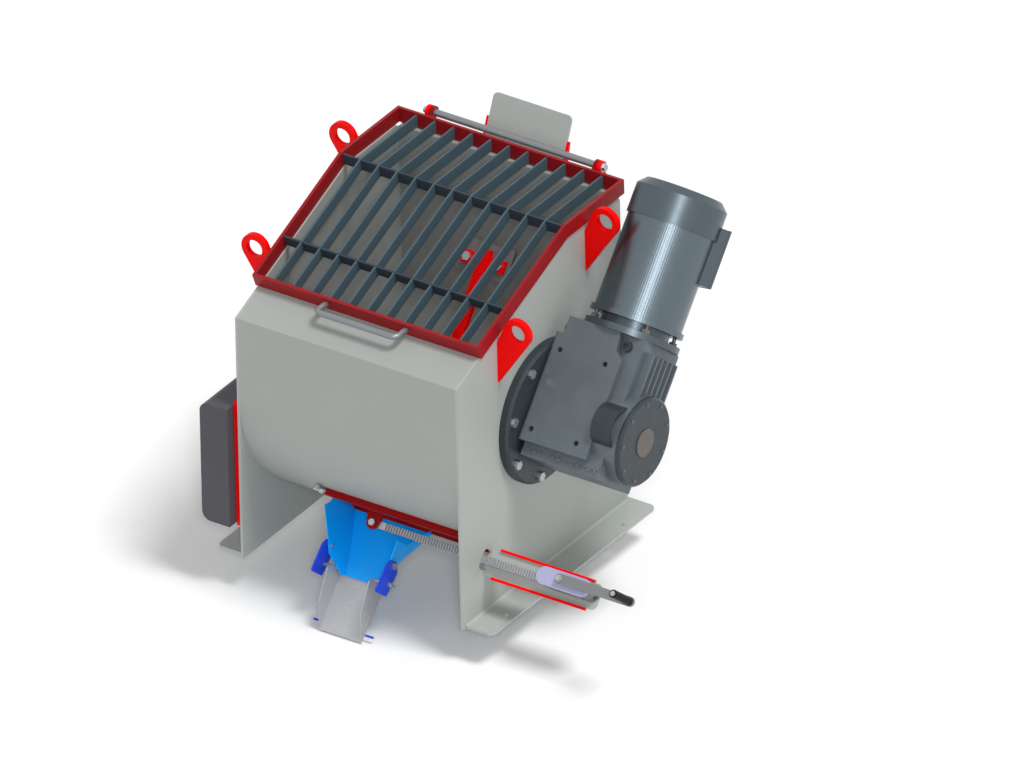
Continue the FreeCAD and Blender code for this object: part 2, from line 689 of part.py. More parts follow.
# Gear unit and motor, upright about the shaft

def turned(label, profile, axis, tilted=True, **base):
    """Body turned from a half section about the first or the second sketch axis."""
    body = new_body(label, tilted=tilted, **base)
    section = new_sketch(body, "XZ_Plane", "Half section")
    add_outline(section, profile)
    revolve(body, section, axis)
    return body


def washer_section(x0, x1, r0, r1):
    return [(x0, r0), (x1, r0), (x1, r1), (x0, r1)]


def make_gear_unit():
    wall = s.body_length / 2
    bore = s.shaft_dia / 2 + s.fit
    face = wall + s.flange_thick
    rim = s.flange_dia / 2
    flange = turned("gearbox_flange", [
        (wall, bore), (face, bore), (face, rim - s.plate), (face - s.plate, rim),
        (wall, rim)], "H_Axis")
    holes = new_sketch(flange, "YZ_Plane", "Bolt holes")
    bolts = []
    for y, z in flange_points(as_size(0)):
        add_circle(holes, y, z, s.flange_bolt + s.clearance)
        seat = (float(face), float(y), float(z))
        bolts.append(bolt(seat, (-1, 0, 0), d.flange_bolt, d.flange_thick + d.plate))
    pocket(flange, holes, face + s.clearance, reverse=True)
    free_form("flange_bolts", group(bolts), tilted=True)

    case = new_body("gearbox_housing", tilted=True)
    front = new_sketch(case, "XZ_Plane", "Front")
    end = wall + s.case_end
    add_outline(front, [
        (face, -s.case_low), (end, -s.case_low), (end, s.case_high - s.case_notch),
        (end - s.case_notch_in, s.case_high - s.case_step),
        (end - s.case_notch_in - s.fin_thick, s.case_high),
        (face + s.case_notch_in, s.case_high),
        (face + s.case_notch_in, s.case_high - s.case_step), (face, rim)])
    pad(case, front, 2 * s.case_half, middle=True)
    side = new_sketch(case, "XZ_Plane", "Side block")
    add_outline(side, [(end - s.case_notch, -s.side_low), (end + s.side_out, -s.side_low),
                       (end + s.side_out, s.case_high), (end - s.case_notch, s.case_high)])
    pad(case, side, 2 * s.side_half, middle=True)
    boss = new_sketch(case, "XZ_Plane", "Output boss")
    boss_end = end + s.boss_out
    add_outline(boss, washer_section(end - s.case_notch, boss_end, bore, s.boss_dia / 2))
    revolve(case, boss, "H_Axis")
    strip = new_sketch(case, "XZ_Plane", "Foot strip")
    add_outline(strip, [
        (face + s.case_notch_in / 2, -s.case_low - s.foot_strip_high),
        (end + s.foot_strip_out, -s.case_low - s.foot_strip_high),
        (end + s.foot_strip_out, -s.case_low + s.clearance),
        (face + s.case_notch_in / 2, -s.case_low + s.clearance)])
    pad(case, strip, 2 * s.foot_strip_half, middle=True)
    round_edges(case, s.case_round, lambda edge: along(edge, 2) and at(edge, x=face))
    fin = new_sketch(case, "XZ_Plane", "Fin")
    fin_low = s.boss_dia / 2 - s.fin_gap
    fin_end = end + s.side_out + s.fin_tall
    add_outline(fin, [(end + s.side_out - s.clearance, fin_low), (fin_end, fin_low),
                      (fin_end, s.case_high - s.fin_gap),
                      (end + s.side_out - s.clearance, s.case_high - s.fin_gap)])
    first_fin = s.fin_gap * (s.fin_count - 1) / 2
    fin.setExpression("AttachmentOffset.Base.z", first_fin.text)
    finned = pad(case, fin, s.fin_thick, middle=True)
    linear(case, finned, "Y_Axis", s.fin_gap * (s.fin_count - 1), s.fin_count)
    for side in (-1, 1):
        tapped = new_sketch(case, "XZ_Plane", "Tapped holes")
        depth = s.case_half - s.tapped_deep
        tapped.setExpression("AttachmentOffset.Base.z", (side * depth).text)
        for x in (s.tapped_near, s.tapped_far):
            for level in (-s.tapped_low, s.tapped_high):
                add_circle(tapped, wall + x, level, s.tapped_dia)
        pocket(case, tapped, s.tapped_deep + s.clearance, reverse=side > 0)
    bearing = new_sketch(case, "YZ_Plane", "Shaft bore")
    add_circle(bearing, 0, 0, s.shaft_dia + 2 * s.clearance)
    pocket(case, bearing, boss_end + s.clearance, reverse=True)

    small = rod((float(end), -d.small_boss_side, d.small_boss_up), (1, 0, 0), d.small_boss,
                d.small_boss_out)
    recess = rod((float(end) + d.small_boss_out - d.recess_deep, -d.small_boss_side,
                  d.small_boss_up), (1, 0, 0), d.recess_dia, d.recess_deep)
    bearing_cap = small.cut([recess, case_solid(case)])
    free_form("intermediate_cover", max(bearing_cap.Solids, key=lambda item: item.Volume),
              tilted=True)

    cover_end = boss_end + s.cover_thick
    turned("output_cover", [
        (boss_end, bore), (cover_end, bore), (cover_end, s.boss_dia / 2 - s.fin_thick),
        (cover_end - s.fin_thick, s.boss_dia / 2), (boss_end, s.boss_dia / 2)], "H_Axis")
    turned("shaft_cap", washer_section(cover_end, cover_end + s.cap_thick, 0,
                                       s.cap_dia / 2), "H_Axis")

    plug_side = rod((float(face) + d.case_notch_in, -d.case_half + d.plug_dia,
                     d.case_high - d.plug_dia), (-1, 0, 0), d.plug_dia, d.plug_high)
    plug_x = float(end) - d.case_notch_in + d.plug_dia / 2 + d.clearance
    plug_front = rod((plug_x, -d.side_half,
                      d.case_high - d.plug_dia), (0, -1, 0), d.plug_dia, d.plug_high)
    hollow = hexagon((plug_x, -d.side_half - d.plug_high,
                      d.case_high - d.plug_dia), (0, 1, 0), d.plug_dia / 2, d.plug_high / 2)
    free_form("oil_plugs", group([plug_side, plug_front.cut(hollow)]), tilted=True)


def case_solid(case):
    """Housing in its own upright frame."""
    doc.recompute()
    return case.Tip.Shape.copy()


def make_motor():
    bore = s.motor_shaft / 2 + s.clearance
    seat = s.motor_shaft / 2 + s.fit
    low = s.case_high
    top = low + s.adapter_thick
    neck = top + s.neck_long
    flange = neck + s.motor_flange
    turned("motor_adapter", [
        (bore, low), (s.adapter_dia / 2, low), (s.adapter_dia / 2, top),
        (s.neck_dia / 2, top), (s.neck_dia / 2, neck), (bore, neck)], "V_Axis",
        x=s.motor_x)
    barrel_top = flange + s.barrel_long
    turned("motor_barrel", [
        (seat, neck), (s.motor_flange_dia / 2, neck), (s.motor_flange_dia / 2, flange),
        (s.motor_dia / 2, flange), (s.motor_dia / 2, barrel_top),
        (s.barrel_bore / 2, barrel_top), (s.barrel_bore / 2, flange), (seat, flange)],
        "V_Axis", x=s.motor_x)
    shield_top = barrel_top + s.shield
    cowl_inner = s.cowl_dia / 2 - s.cowl_wall
    turned("motor_end_shield", washer_section(seat, cowl_inner, barrel_top, shield_top),
           "V_Axis", x=s.motor_x)
    end = barrel_top + s.cowl_long
    bevel = s.cowl_chamfer
    cowl = turned("fan_cowl", [
        (cowl_inner, barrel_top), (s.cowl_dia / 2, barrel_top), (s.cowl_dia / 2, end - bevel),
        (s.cowl_dia / 2 - bevel, end), (s.cowl_hub, end), (s.cowl_hub, end - s.cowl_wall),
        (cowl_inner - bevel, end - s.cowl_wall), (cowl_inner, end - bevel)],
        "V_Axis", x=s.motor_x)
    slot = new_sketch(cowl, "XY_Plane", "Air slot")
    half = s.cowl_slot / 2
    add_outline(slot, [(s.slot_start, -half), (cowl_inner - bevel - half, -half),
                       (cowl_inner - bevel - half, half), (s.slot_start, half)])
    slotted = pocket(cowl, slot, end + s.clearance, reverse=True)
    polar(cowl, slotted, "Z_Axis", s.cowl_slots)

    turned("motor_shaft", [
        (0, top), (s.motor_shaft / 2, top), (s.motor_shaft / 2, flange + s.rotor_gap),
        (s.rotor_dia / 2, flange + s.rotor_gap),
        (s.rotor_dia / 2, barrel_top - s.rotor_gap),
        (s.motor_shaft / 2, barrel_top - s.rotor_gap), (s.motor_shaft / 2, end - s.fan_top),
        (0, end - s.fan_top)], "V_Axis", x=s.motor_x)
    root_z = float(end) - d.fan_top - d.fan_deep
    hub = ring((0, 0, root_z), (0, 0, 1), d.motor_shaft + 2 * d.shield, d.motor_shaft,
               d.fan_deep)
    disc = ring((0, 0, root_z), (0, 0, 1), d.fan_dia, d.motor_shaft, d.cowl_wall)
    blades = []
    for i in range(int(d.fan_blades)):
        blade = box((d.motor_shaft / 2 + d.shield / 2, d.fan_dia / 2),
                    (-d.cowl_wall / 2, d.cowl_wall / 2), (root_z, root_z + d.fan_deep))
        blade.rotate(V(0, 0, 0), V(0, 0, 1), 360 * i / d.fan_blades)
        blades.append(blade)
    fan = joined([hub, disc] + blades)
    fan.translate(V(d.motor_x, 0, 0))
    free_form("motor_fan", fan, tilted=True)

    bolts = []
    for i in range(4):
        angle = math.pi * (2 * i + 1) / 4
        x = d.motor_x + d.adapter_bolts / 2 * math.cos(angle)
        y = d.adapter_bolts / 2 * math.sin(angle)
        start = (x, y, float(top))
        bolts.append(joined([hexagon(start, (0, 0, 1), d.nut_across, d.neck_long / 2),
                             rod(start, (0, 0, 1), d.nut_across / 2, d.neck_long)]))
    free_form("adapter_bolts", group(bolts), tilted=True)

    barrel = rod((0, 0, float(neck)), (0, 0, 1), d.motor_dia, d.barrel_long + d.shield * 2)
    cowl_room = rod((0, 0, float(barrel_top) - d.clearance), (0, 0, 1),
                    d.cowl_dia + 2 * d.clearance, d.cowl_long)
    half_wide = d.terminal_wide / 2
    body = box((0, d.terminal_out - d.terminal_lid), (-half_wide, half_wide),
               (d.terminal_low, d.terminal_high - d.clearance)).cut([barrel, cowl_room])
    body = max(body.Solids, key=lambda item: item.Volume)
    lid = box((d.terminal_out - d.terminal_lid, d.terminal_out),
              (-half_wide - d.clearance, half_wide + d.clearance),
              (d.terminal_low - d.clearance, d.terminal_high))
    corners = [edge for edge in lid.Edges if at(edge, x=d.terminal_out)]
    lid = lid.makeFillet(d.lid_round, corners)
    for label, piece in (("terminal_box", body), ("terminal_box_lid", lid)):
        piece.rotate(V(0, 0, 0), V(0, 0, 1), d.terminal_turn)
        piece.translate(V(d.motor_x, 0, 0))
        free_form(label, piece, tilted=True)


# Mixing shaft with its bearing, paddles and scrapers

def make_bearing():
    wall = -d.body_length / 2
    square = box((wall - d.bearing_flange, wall),
                 (-d.bearing_square / 2, d.bearing_square / 2),
                 (-d.bearing_square / 2, d.bearing_square / 2))
    drum = rod((wall, 0, 0), (-1, 0, 0), d.bearing_dia, d.bearing_long)
    pocket_deep = d.bearing_long - d.bearing_wall
    housing = joined([square, drum]).cut(
        rod((wall, 0, 0), (-1, 0, 0), d.bearing_ring, pocket_deep))
    offset = d.bearing_square / 2 - d.bearing_bolt_in
    spots = [(y * offset, z * offset) for y in (-1, 1) for z in (-1, 1)]
    holes = [rod((wall, y, z), (-1, 0, 0), d.bearing_bolt, d.bearing_flange)
             for y, z in spots]
    bolts = [bolt((wall - d.bearing_flange, y, z), (1, 0, 0), d.bearing_bolt,
                  d.bearing_flange + d.plate) for y, z in spots]
    inner = ring((wall - pocket_deep, 0, 0), (1, 0, 0), d.bearing_ring,
                 d.shaft_dia + 2 * d.fit, pocket_deep - d.plate)
    seals = [ring((side * (d.body_length / 2 - d.plate), 0, 0), (-side, 0, 0), d.seal_dia,
                  d.shaft_dia + 2 * d.fit, d.seal_thick) for side in (-1, 1)]
    for label, shape in (("bearing_housing", housing.cut(holes)), ("bearing", inner),
                         ("bearing_bolts", group(bolts)), ("shaft_seals", group(seals))):
        shape.translate(V(0, 0, d.axis_height))
        free_form(label, shape)


def make_agitator():
    left = -(d.body_length / 2 + d.bearing_long - d.bearing_wall - d.clearance)
    right = (d.body_length / 2 + d.case_end + d.boss_out + d.cover_thick - d.clearance)
    shaft = doc.addObject("Part::Cylinder", "mixing_shaft")
    shaft.Label = "mixing_shaft"
    bind(shaft, Radius=s.shaft_dia / 2)
    shaft.setExpression("Height", (
        2 * s.body_length / 2 + s.bearing_long - s.bearing_wall + s.case_end + s.boss_out
        + s.cover_thick - 2 * s.clearance).text)
    turn = FreeCAD.Rotation(V(0, 1, 0), 90)
    shaft.Placement = FreeCAD.Placement(V(left, 0, d.axis_height), turn)
    nodes.append(shaft)

    arms = []
    blades = []
    bolts = []
    half = d.arm_wide / 2
    axis = V(0, 0, d.axis_height)

    def place(shape, x, angle):
        shape.rotate(V(0, 0, 0), V(1, 0, 0), angle)
        shape.translate(axis + V(x, 0, 0))
        return shape

    def arm(reach, plates):
        hub = ring((-d.hub_wide / 2, 0, 0), (1, 0, 0), d.hub_dia, d.shaft_dia, d.hub_wide)
        bar = box((-half, half), (d.shaft_dia / 2 + d.clearance, reach), (0, d.arm_thick))
        bar = bar.cut(rod((-d.hub_wide, 0, 0), (1, 0, 0), d.shaft_dia, 2 * d.hub_wide))
        return joined([hub, bar] + plates)

    paddle_low = d.sweep_radius - d.paddle_high
    for i in range(4):
        x = (i - 1.5) * d.arm_pitch
        angle = d.arm_angle - (x - d.arm_pitch / 2) / d.arm_pitch * 90
        holder = box((-d.holder_wide / 2, d.holder_wide / 2),
                     (d.paddle_bolt_at - d.holder_high / 2,
                      d.paddle_bolt_at + d.holder_high / 2), (0, d.holder_thick))
        spots = [(side * d.paddle_bolt_half, d.paddle_bolt_at) for side in (-1, 1)]
        drills = [rod((u, v, -d.paddle_thick), (0, 0, 1), d.paddle_bolt,
                      d.paddle_thick + d.holder_thick) for u, v in spots]
        arms.append(place(arm(d.sweep_radius - d.holder_high / 2, [holder]).cut(drills),
                          x, angle))
        blade = box((-d.paddle_wide / 2, d.paddle_wide / 2), (paddle_low, d.sweep_radius),
                    (-d.paddle_thick, 0)).cut(drills)
        blades.append(place(blade, x, angle))
        for u, v in spots:
            screw = bolt((u, v, d.holder_thick), (0, 0, -1), d.paddle_bolt,
                         d.holder_thick + d.paddle_thick)
            nut = hexagon((u, v, -d.paddle_thick), (0, 0, -1), 1.6 * d.paddle_bolt,
                          0.8 * d.paddle_bolt)
            bolts.append(place(joined([screw, nut]), x, angle))

    for side, angle in ((-1, d.arm_angle - 90), (1, d.arm_angle + 180)):
        x = side * d.scraper_x
        outer = d.body_length / 2 - d.plate - d.scraper_gap - d.scraper_x
        limits = sorted((-side * half, side * outer))
        blade = box(limits, (d.sweep_radius - d.scraper_high, d.sweep_radius),
                    (-d.paddle_thick, 0))
        spots = [d.sweep_radius - d.scraper_high * share for share in (0.25, 0.75)]
        drills = [rod((0, v, -d.paddle_thick), (0, 0, 1), d.paddle_bolt,
                      d.paddle_thick + d.arm_thick) for v in spots]
        arms.append(place(arm(d.sweep_radius - d.scraper_high / 8, []).cut(drills),
                          x, angle))
        blades.append(place(blade.cut(drills), x, angle))
        for v in spots:
            screw = bolt((0, v, d.arm_thick), (0, 0, -1), d.paddle_bolt,
                         d.arm_thick + d.paddle_thick)
            nut = hexagon((0, v, -d.paddle_thick), (0, 0, -1), 1.6 * d.paddle_bolt,
                          0.8 * d.paddle_bolt)
            bolts.append(place(joined([screw, nut]), x, angle))
    free_form("paddle_arms", group(arms))
    free_form("paddle_blades", group(blades))
    free_form("paddle_bolts", group(bolts))


# Control box

def make_control_box():
    low, high = d.box_low, d.box_low + d.box_high
    front, back = -d.box_front, -d.box_front + d.box_deep
    split = -d.box_outer + d.box_lid
    shell = box((-d.box_outer, -d.box_inner), (front, back), (low, high))
    corners = [edge for edge in shell.Edges if along(edge, 1) and at(edge, x=-d.box_outer)]
    shell = shell.makeFillet(d.box_round, corners)
    wall = d.box_wall
    hollow = box((-d.box_outer + wall, -d.box_inner - wall), (front + wall, back - wall),
                 (low + wall, high - wall))
    inner = [edge for edge in hollow.Edges
             if along(edge, 1) and at(edge, x=-d.box_outer + wall)]
    shell = shell.cut(hollow.makeFillet(d.box_round - wall, inner))
    far = 2 * d.box_outer
    body = shell.common(box((split, 0), (-far, far), (-far, far)))
    lid = shell.common(box((-far, split), (-far, far), (-far, far)))
    free_form("control_box", body)
    free_form("control_box_lid", lid)
    wall_x = -d.body_length / 2
    margin = d.box_margin
    frame = box((-d.box_inner, wall_x), (-d.body_depth / 2 + margin, back - margin),
                (low - margin, high + margin))
    opening = box((-far, far), (-d.body_depth / 2 + margin + d.plate, back - margin - d.plate),
                  (low - margin + d.plate, high + margin - d.plate))
    free_form("box_carrier", frame.cut(opening))


# Discharge gate under the trough, upright: x along the shaft, front and distance from it

def gate_point(x, front, radius):
    return V(x, -front, -radius)


def gate_box(x, front, radius):
    return box(x, (-front[1], -front[0]), (-radius[1], -radius[0]))


def sector(radii, angles, x):
    """Piece of a tube about the shaft, its angles counted to the front from straight below."""
    edges = []
    corners = []
    for radius, order in ((radii[0], angles), (radii[1], angles[::-1])):
        middle = sum(angles) / 2
        arc = [V(x[0], -radius * math.sin(math.radians(a)), -radius * math.cos(math.radians(a)))
               for a in (order[0], middle, order[1])]
        edges.append(Part.Arc(*arc).toShape())
        corners += [arc[0], arc[2]]
    edges.insert(1, Part.LineSegment(corners[1], corners[2]).toShape())
    edges.append(Part.LineSegment(corners[3], corners[0]).toShape())
    return Part.Face(Part.Wire(edges)).extrude(V(x[1] - x[0], 0, 0))


def make_gate():
    shell = d.body_depth / 2
    inner = shell + d.gate_gap
    outer = inner + d.gate_thick
    plate = sector((inner, outer), (-d.gate_angle, d.gate_angle), (-d.gate_half, d.gate_half))
    free_form("gate_plate", plate, tilted=True)

    wall = d.body_length / 2 - d.plate
    lip_angle = d.guide_angle - math.degrees(d.guide_lip / shell)
    side_angle = d.guide_angle + math.degrees(d.guide_thick / shell)
    rails = []
    for side in (-1, 1):
        web = sector((shell, shell + d.guide_high),
                     tuple(sorted((side * d.guide_angle, side * side_angle))),
                     (-d.guide_start, wall))
        lip = sector((outer + d.gate_gap, outer + d.gate_gap + d.gate_thick),
                     tuple(sorted((side * lip_angle, side * side_angle))),
                     (-d.guide_start, wall))
        rails.append(joined([web, lip]))
    free_form("gate_rails", group(rails), tilted=True)

    back = d.rack_side / 2
    centre = V(0, -d.rack_radius, 0)
    lug = ear(V(-d.ear_foot / 2, -outer + d.clearance, 0),
              V(d.ear_foot / 2, -outer + d.clearance, 0), centre, d.ear_round, d.ear_bolt,
              d.ear_thick)
    lug.Placement = FreeCAD.Placement(V(0, -back - d.ear_thick / 2, 0), UPRIGHT)
    lug = lug.cut(rod((-2 * shell, 0, 0), (1, 0, 0), 2 * outer, 4 * shell))
    free_form("gate_ear", lug, tilted=True)
    seat = gate_point(0, back + d.ear_thick, d.rack_radius)
    screw = bolt(tuple(seat), (0, 1, 0), d.ear_bolt, d.rack_side + d.ear_thick)
    free_form("ear_bolt", screw, tilted=True)
    make_rack()


def make_rack():
    """Square rack with its teeth across the front face, and the pinion that drives it."""
    pitch = s.tooth_module * math.pi
    half = s.rack_side / 2
    deep = 2.25 * s.tooth_module
    lean = sine(s.flank) / cosine(s.flank)
    rack = new_body("gate_rack", tilted=True, down=s.rack_radius)
    bar = new_sketch(rack, "XY_Plane", "Bar")
    add_outline(bar, [(-s.rack_left, -half), (s.rack_right, -half), (s.rack_right, half),
                      (-s.rack_left, half)])
    pad(rack, bar, s.rack_side, middle=True)
    ear_hole = new_sketch(rack, "XZ_Plane", "Ear hole")
    add_circle(ear_hole, 0, 0, s.ear_bolt)
    pocket(rack, ear_hole, s.rack_side + 2 * s.clearance, middle=True)
    gap = new_sketch(rack, "XY_Plane", "Tooth gap")
    middle = s.drive_x - s.rack_before * pitch
    mouth = pitch / 4 + (s.tooth_module + s.clearance) * lean
    root_half = pitch / 4 - (deep - s.tooth_module) * lean
    add_outline(gap, [
        (middle - mouth, -half - s.clearance), (middle + mouth, -half - s.clearance),
        (middle + root_half, deep - half), (middle - root_half, deep - half)])
    cut = pocket(rack, gap, s.rack_side + 2 * s.clearance, middle=True)
    linear(rack, cut, "X_Axis", pitch * (s.rack_gaps - 1), s.rack_gaps)

    pitch_radius = d.tooth_module * d.pinion_teeth / 2
    dedendum = 1.25 * d.tooth_module
    addendum = 0.8 * d.tooth_module
    root_radius = pitch_radius - dedendum
    tip_radius = pitch_radius + addendum
    slant = math.tan(math.radians(d.flank))
    wide = math.pi * d.tooth_module / 4 - d.backlash / 2
    teeth = [rod((0, 0, 0), (0, 0, 1), 2 * root_radius, d.pinion_wide)]
    for i in range(int(d.pinion_teeth)):
        low, high = wide + dedendum * slant / 2, wide - addendum * slant
        tooth = prism([(root_radius - 1, -low, 0), (root_radius, -low, 0),
                       (tip_radius, -high, 0), (tip_radius, high, 0), (root_radius, low, 0),
                       (root_radius - 1, low, 0)], (0, 0, d.pinion_wide))
        tooth.rotate(V(0, 0, 0), V(0, 0, 1), 90 + 360 * i / d.pinion_teeth)
        teeth.append(tooth)
    front = pinion_front()
    low = -d.drive_down - d.drive_wide / 2 + d.drive_floor
    wheel = joined(teeth)
    wheel.translate(V(0, 0, low + d.clearance))
    inner = d.mitre / 2
    bevel = Part.makeCone(d.mitre - d.gate_gap, inner - d.gate_gap, inner,
                          V(0, 0, -d.crank_down - d.mitre), V(0, 0, 1))
    spindle = rod((0, 0, low - d.drive_floor + d.clearance), (0, 0, 1), d.grip_pin,
                  -d.crank_down - inner - low + d.drive_floor - d.clearance)
    pinion = joined([wheel, bevel, spindle])
    pinion.translate(V(d.drive_x, -front, 0))
    free_form("rack_pinion", pinion, tilted=True)


def pinion_front():
    """Distance of the pinion's axis in front of the middle of the rack."""
    tips = d.rack_side / 2
    return tips - d.tooth_module + d.tooth_module * d.pinion_teeth / 2


def stadium(x, level, half):
    """Outline with round ends about two centres in x."""
    return [(x[0], level - half), (x[1], level - half, half), (x[1] + half, level, half),
            (x[1], level + half), (x[0], level + half, half), (x[0] - half, level, half)]


def make_tray():
    """Plate that carries the drive, with a strip along each edge."""
    wall = s.body_length / 2
    tray = new_body("rack_tray", tilted=True, out=-s.tray_back, down=s.tray_down)
    outline = new_sketch(tray, "XZ_Plane", "Outline")
    half = s.tray_wide / 2
    add_outline(outline, [(wall, -half), (s.tray_end, -half), (s.tray_end, half),
                          (wall, half)])
    pad(tray, outline, s.tray_thick)
    round_edges(tray, s.tray_corner, lambda edge: along(edge, 1) and at(edge, x=s.tray_end))
    strips = []
    for side in (-1, 1):
        middle = d.tray_down + side * (d.tray_wide + d.strip) / 2
        strips.append(gate_box((d.strip_start, d.strip_end),
                               (-d.tray_back, d.strip - d.tray_back + d.tray_thick),
                               (middle - d.strip / 2, middle + d.strip / 2)))
    free_form("tray_strips", group(strips), tilted=True)


def make_drive():
    """Closed drive on the tray: pinion across the rack, mitre gears and crank shaft."""
    half = d.drive_wide / 2
    seat = d.tray_thick - d.tray_back
    block = stadium_block((d.drive_left + half, d.drive_right - half), d.drive_down, half,
                          (seat, d.drive_top))
    gap = d.gate_gap
    side = d.rack_side / 2 + gap
    channel = gate_box((0, 2 * d.drive_right), (-side, side),
                       (d.rack_radius - side, d.rack_radius + side))
    front = pinion_front()
    room = d.tooth_module * (d.pinion_teeth / 2 + 1) + 2 * d.clearance
    cavity = gate_box((d.drive_x - room, d.drive_x + room), (front - room, d.drive_top),
                      (d.crank_down - d.mitre - d.clearance,
                       d.drive_down + half - d.drive_floor))
    low = -d.drive_down - half + d.clearance
    bore = rod((d.drive_x, -front, low), (0, 0, 1), d.grip_pin + 2 * d.fit, d.drive_floor)
    free_form("drive_housing", block.cut([channel, cavity, bore]), tilted=True)

    top = d.drive_top + d.drive_cover
    cover = stadium_block((d.drive_left + half, d.drive_right - half), d.drive_down, half,
                          (d.drive_top, top))
    rims = [edge for edge in cover.Edges if at(edge, y=-top)]
    cover = cover.makeFillet(d.drive_cover / 2, rims)
    crank_at = gate_point(d.drive_x, 0, d.crank_down)
    neck = rod(tuple(crank_at + V(0, -top + d.clearance, 0)), (0, -1, 0),
               2 * d.crank_shaft, d.crank_wide / 8)
    shaft_bore = rod(tuple(crank_at), (0, -1, 0), d.crank_shaft + 2 * d.fit, 2 * top)
    free_form("drive_cover", joined([cover, neck]).cut(shaft_bore), tilted=True)

    arm_low = s.drive_top + s.drive_cover + s.crank_wide / 8
    arm_top = float(arm_low) + d.crank_thick
    inner = front + d.mitre / 2
    bevel = Part.makeCone(d.mitre / 2 - gap, d.mitre - gap, d.mitre / 2,
                          crank_at + V(0, -inner, 0), V(0, -1, 0))
    shaft = rod(tuple(crank_at + V(0, -inner - d.mitre / 4, 0)), (0, -1, 0), d.crank_shaft,
                arm_top - inner - d.mitre / 4)
    free_form("crank_shaft", joined([bevel, shaft]), tilted=True)

    arm = new_body("crank_arm", tilted=True, out=arm_low, down=s.crank_down)
    bar = new_sketch(arm, "XZ_Plane", "Bar")
    end = s.drive_x + s.crank_radius
    add_outline(bar, stadium((s.drive_x, end), as_size(0), s.crank_wide / 2))
    pad(arm, bar, s.crank_thick)
    holes = new_sketch(arm, "XZ_Plane", "Holes")
    add_circle(holes, s.drive_x, 0, s.crank_shaft)
    add_circle(holes, end, 0, s.grip_pin)
    pocket(arm, holes, reverse=True)

    washer = d.crank_thick / 3
    screw = joined([rod(tuple(crank_at + V(0, -arm_top, 0)), (0, -1, 0),
                        1.4 * d.crank_shaft, washer),
                    hexagon(tuple(crank_at + V(0, -arm_top - washer, 0)), (0, -1, 0),
                            d.crank_shaft, d.crank_thick)])
    end_at = gate_point(float(end), 0, d.crank_down)
    grip_low = arm_top + gap
    pin_top = grip_low + d.grip_long + gap
    pin = joined([rod(tuple(end_at + V(0, -float(arm_low), 0)), (0, -1, 0), d.grip_pin,
                      pin_top - float(arm_low)),
                  rod(tuple(end_at + V(0, -pin_top, 0)), (0, -1, 0), 1.6 * d.grip_pin,
                      washer)])
    free_form("crank_fasteners", group([screw, pin]), tilted=True)
    grip = turned("crank_grip", washer_section(
        s.grip_pin / 2 + s.fit, s.grip_dia / 2, 0, s.grip_long), "V_Axis")
    tall = FreeCAD.Placement(V(0, 0, 0), FreeCAD.Rotation(V(1, 0, 0), 90))
    for axis in "xyz":
        grip.setExpression("Placement.Base." + axis, None)
    grip.Placement = TILTED.multiply(
        FreeCAD.Placement(end_at + V(0, -grip_low, 0), FreeCAD.Rotation())).multiply(tall)


def stadium_block(x, level, half, front):
    """Solid with round ends between two distances in front of the rack."""
    middle = (x[0] + x[1]) / 2
    bar = gate_box((x[0], x[1]), front, (level - half, level + half))
    ends = [rod(tuple(gate_point(end, front[0], level)), (0, -1, 0), 2 * half,
                front[1] - front[0]) for end in x]
    return joined([bar] + ends)


# Discharge chute with its brackets and the extension hinged to them

def hull(rings):
    """Solid between rings of four corners, joined by straight lines."""
    wires = [Part.makePolygon(list(points) + [points[0]]) for points in rings]
    return Part.makeLoft(wires, True, True)


def beyond(near, far, share=0.25):
    """Ring in line with two rings, past the near one."""
    return [a + (a - b) * share for a, b in zip(near, far)]


def chute_rings(inset):
    """Three rings of the chute from its mouth to its lip, with walls moved in."""
    trough = d.body_depth / 2
    mouth = [math.sqrt(trough ** 2 - y ** 2) for y in (d.mouth_rear, d.mouth_front)]
    top = [V(0, -d.mouth_rear, d.axis_height - mouth[0]),
           V(0, -d.mouth_front, d.axis_height - mouth[1])]
    low = [V(0, -d.lip_rear, d.lip_rear_low), V(0, -d.lip_front, d.lip_front_low)]

    kink = [top[0] + (low[0] - top[0]) * 0.6, V(0, -d.kink_front, d.kink_low)]
    fall = (low[0] - top[0]).normalize()
    lift = V(0, fall.z, -fall.y) * inset
    open_front = V(0, -10 * inset, 0)
    rings = []
    for (rear, front), halves in ((top, (d.mouth_half, d.mouth_half)),
                                  (kink, (d.kink_half * 0.85, d.kink_half)),
                                  (low, (d.lip_half, d.lip_half))):
        rear_half, front_half = halves[0] - inset, halves[1] - inset
        rings.append([rear + lift - V(rear_half, 0, 0), rear + lift + V(rear_half, 0, 0),
                      front + open_front + V(front_half, 0, 0),
                      front + open_front - V(front_half, 0, 0)])
    return rings


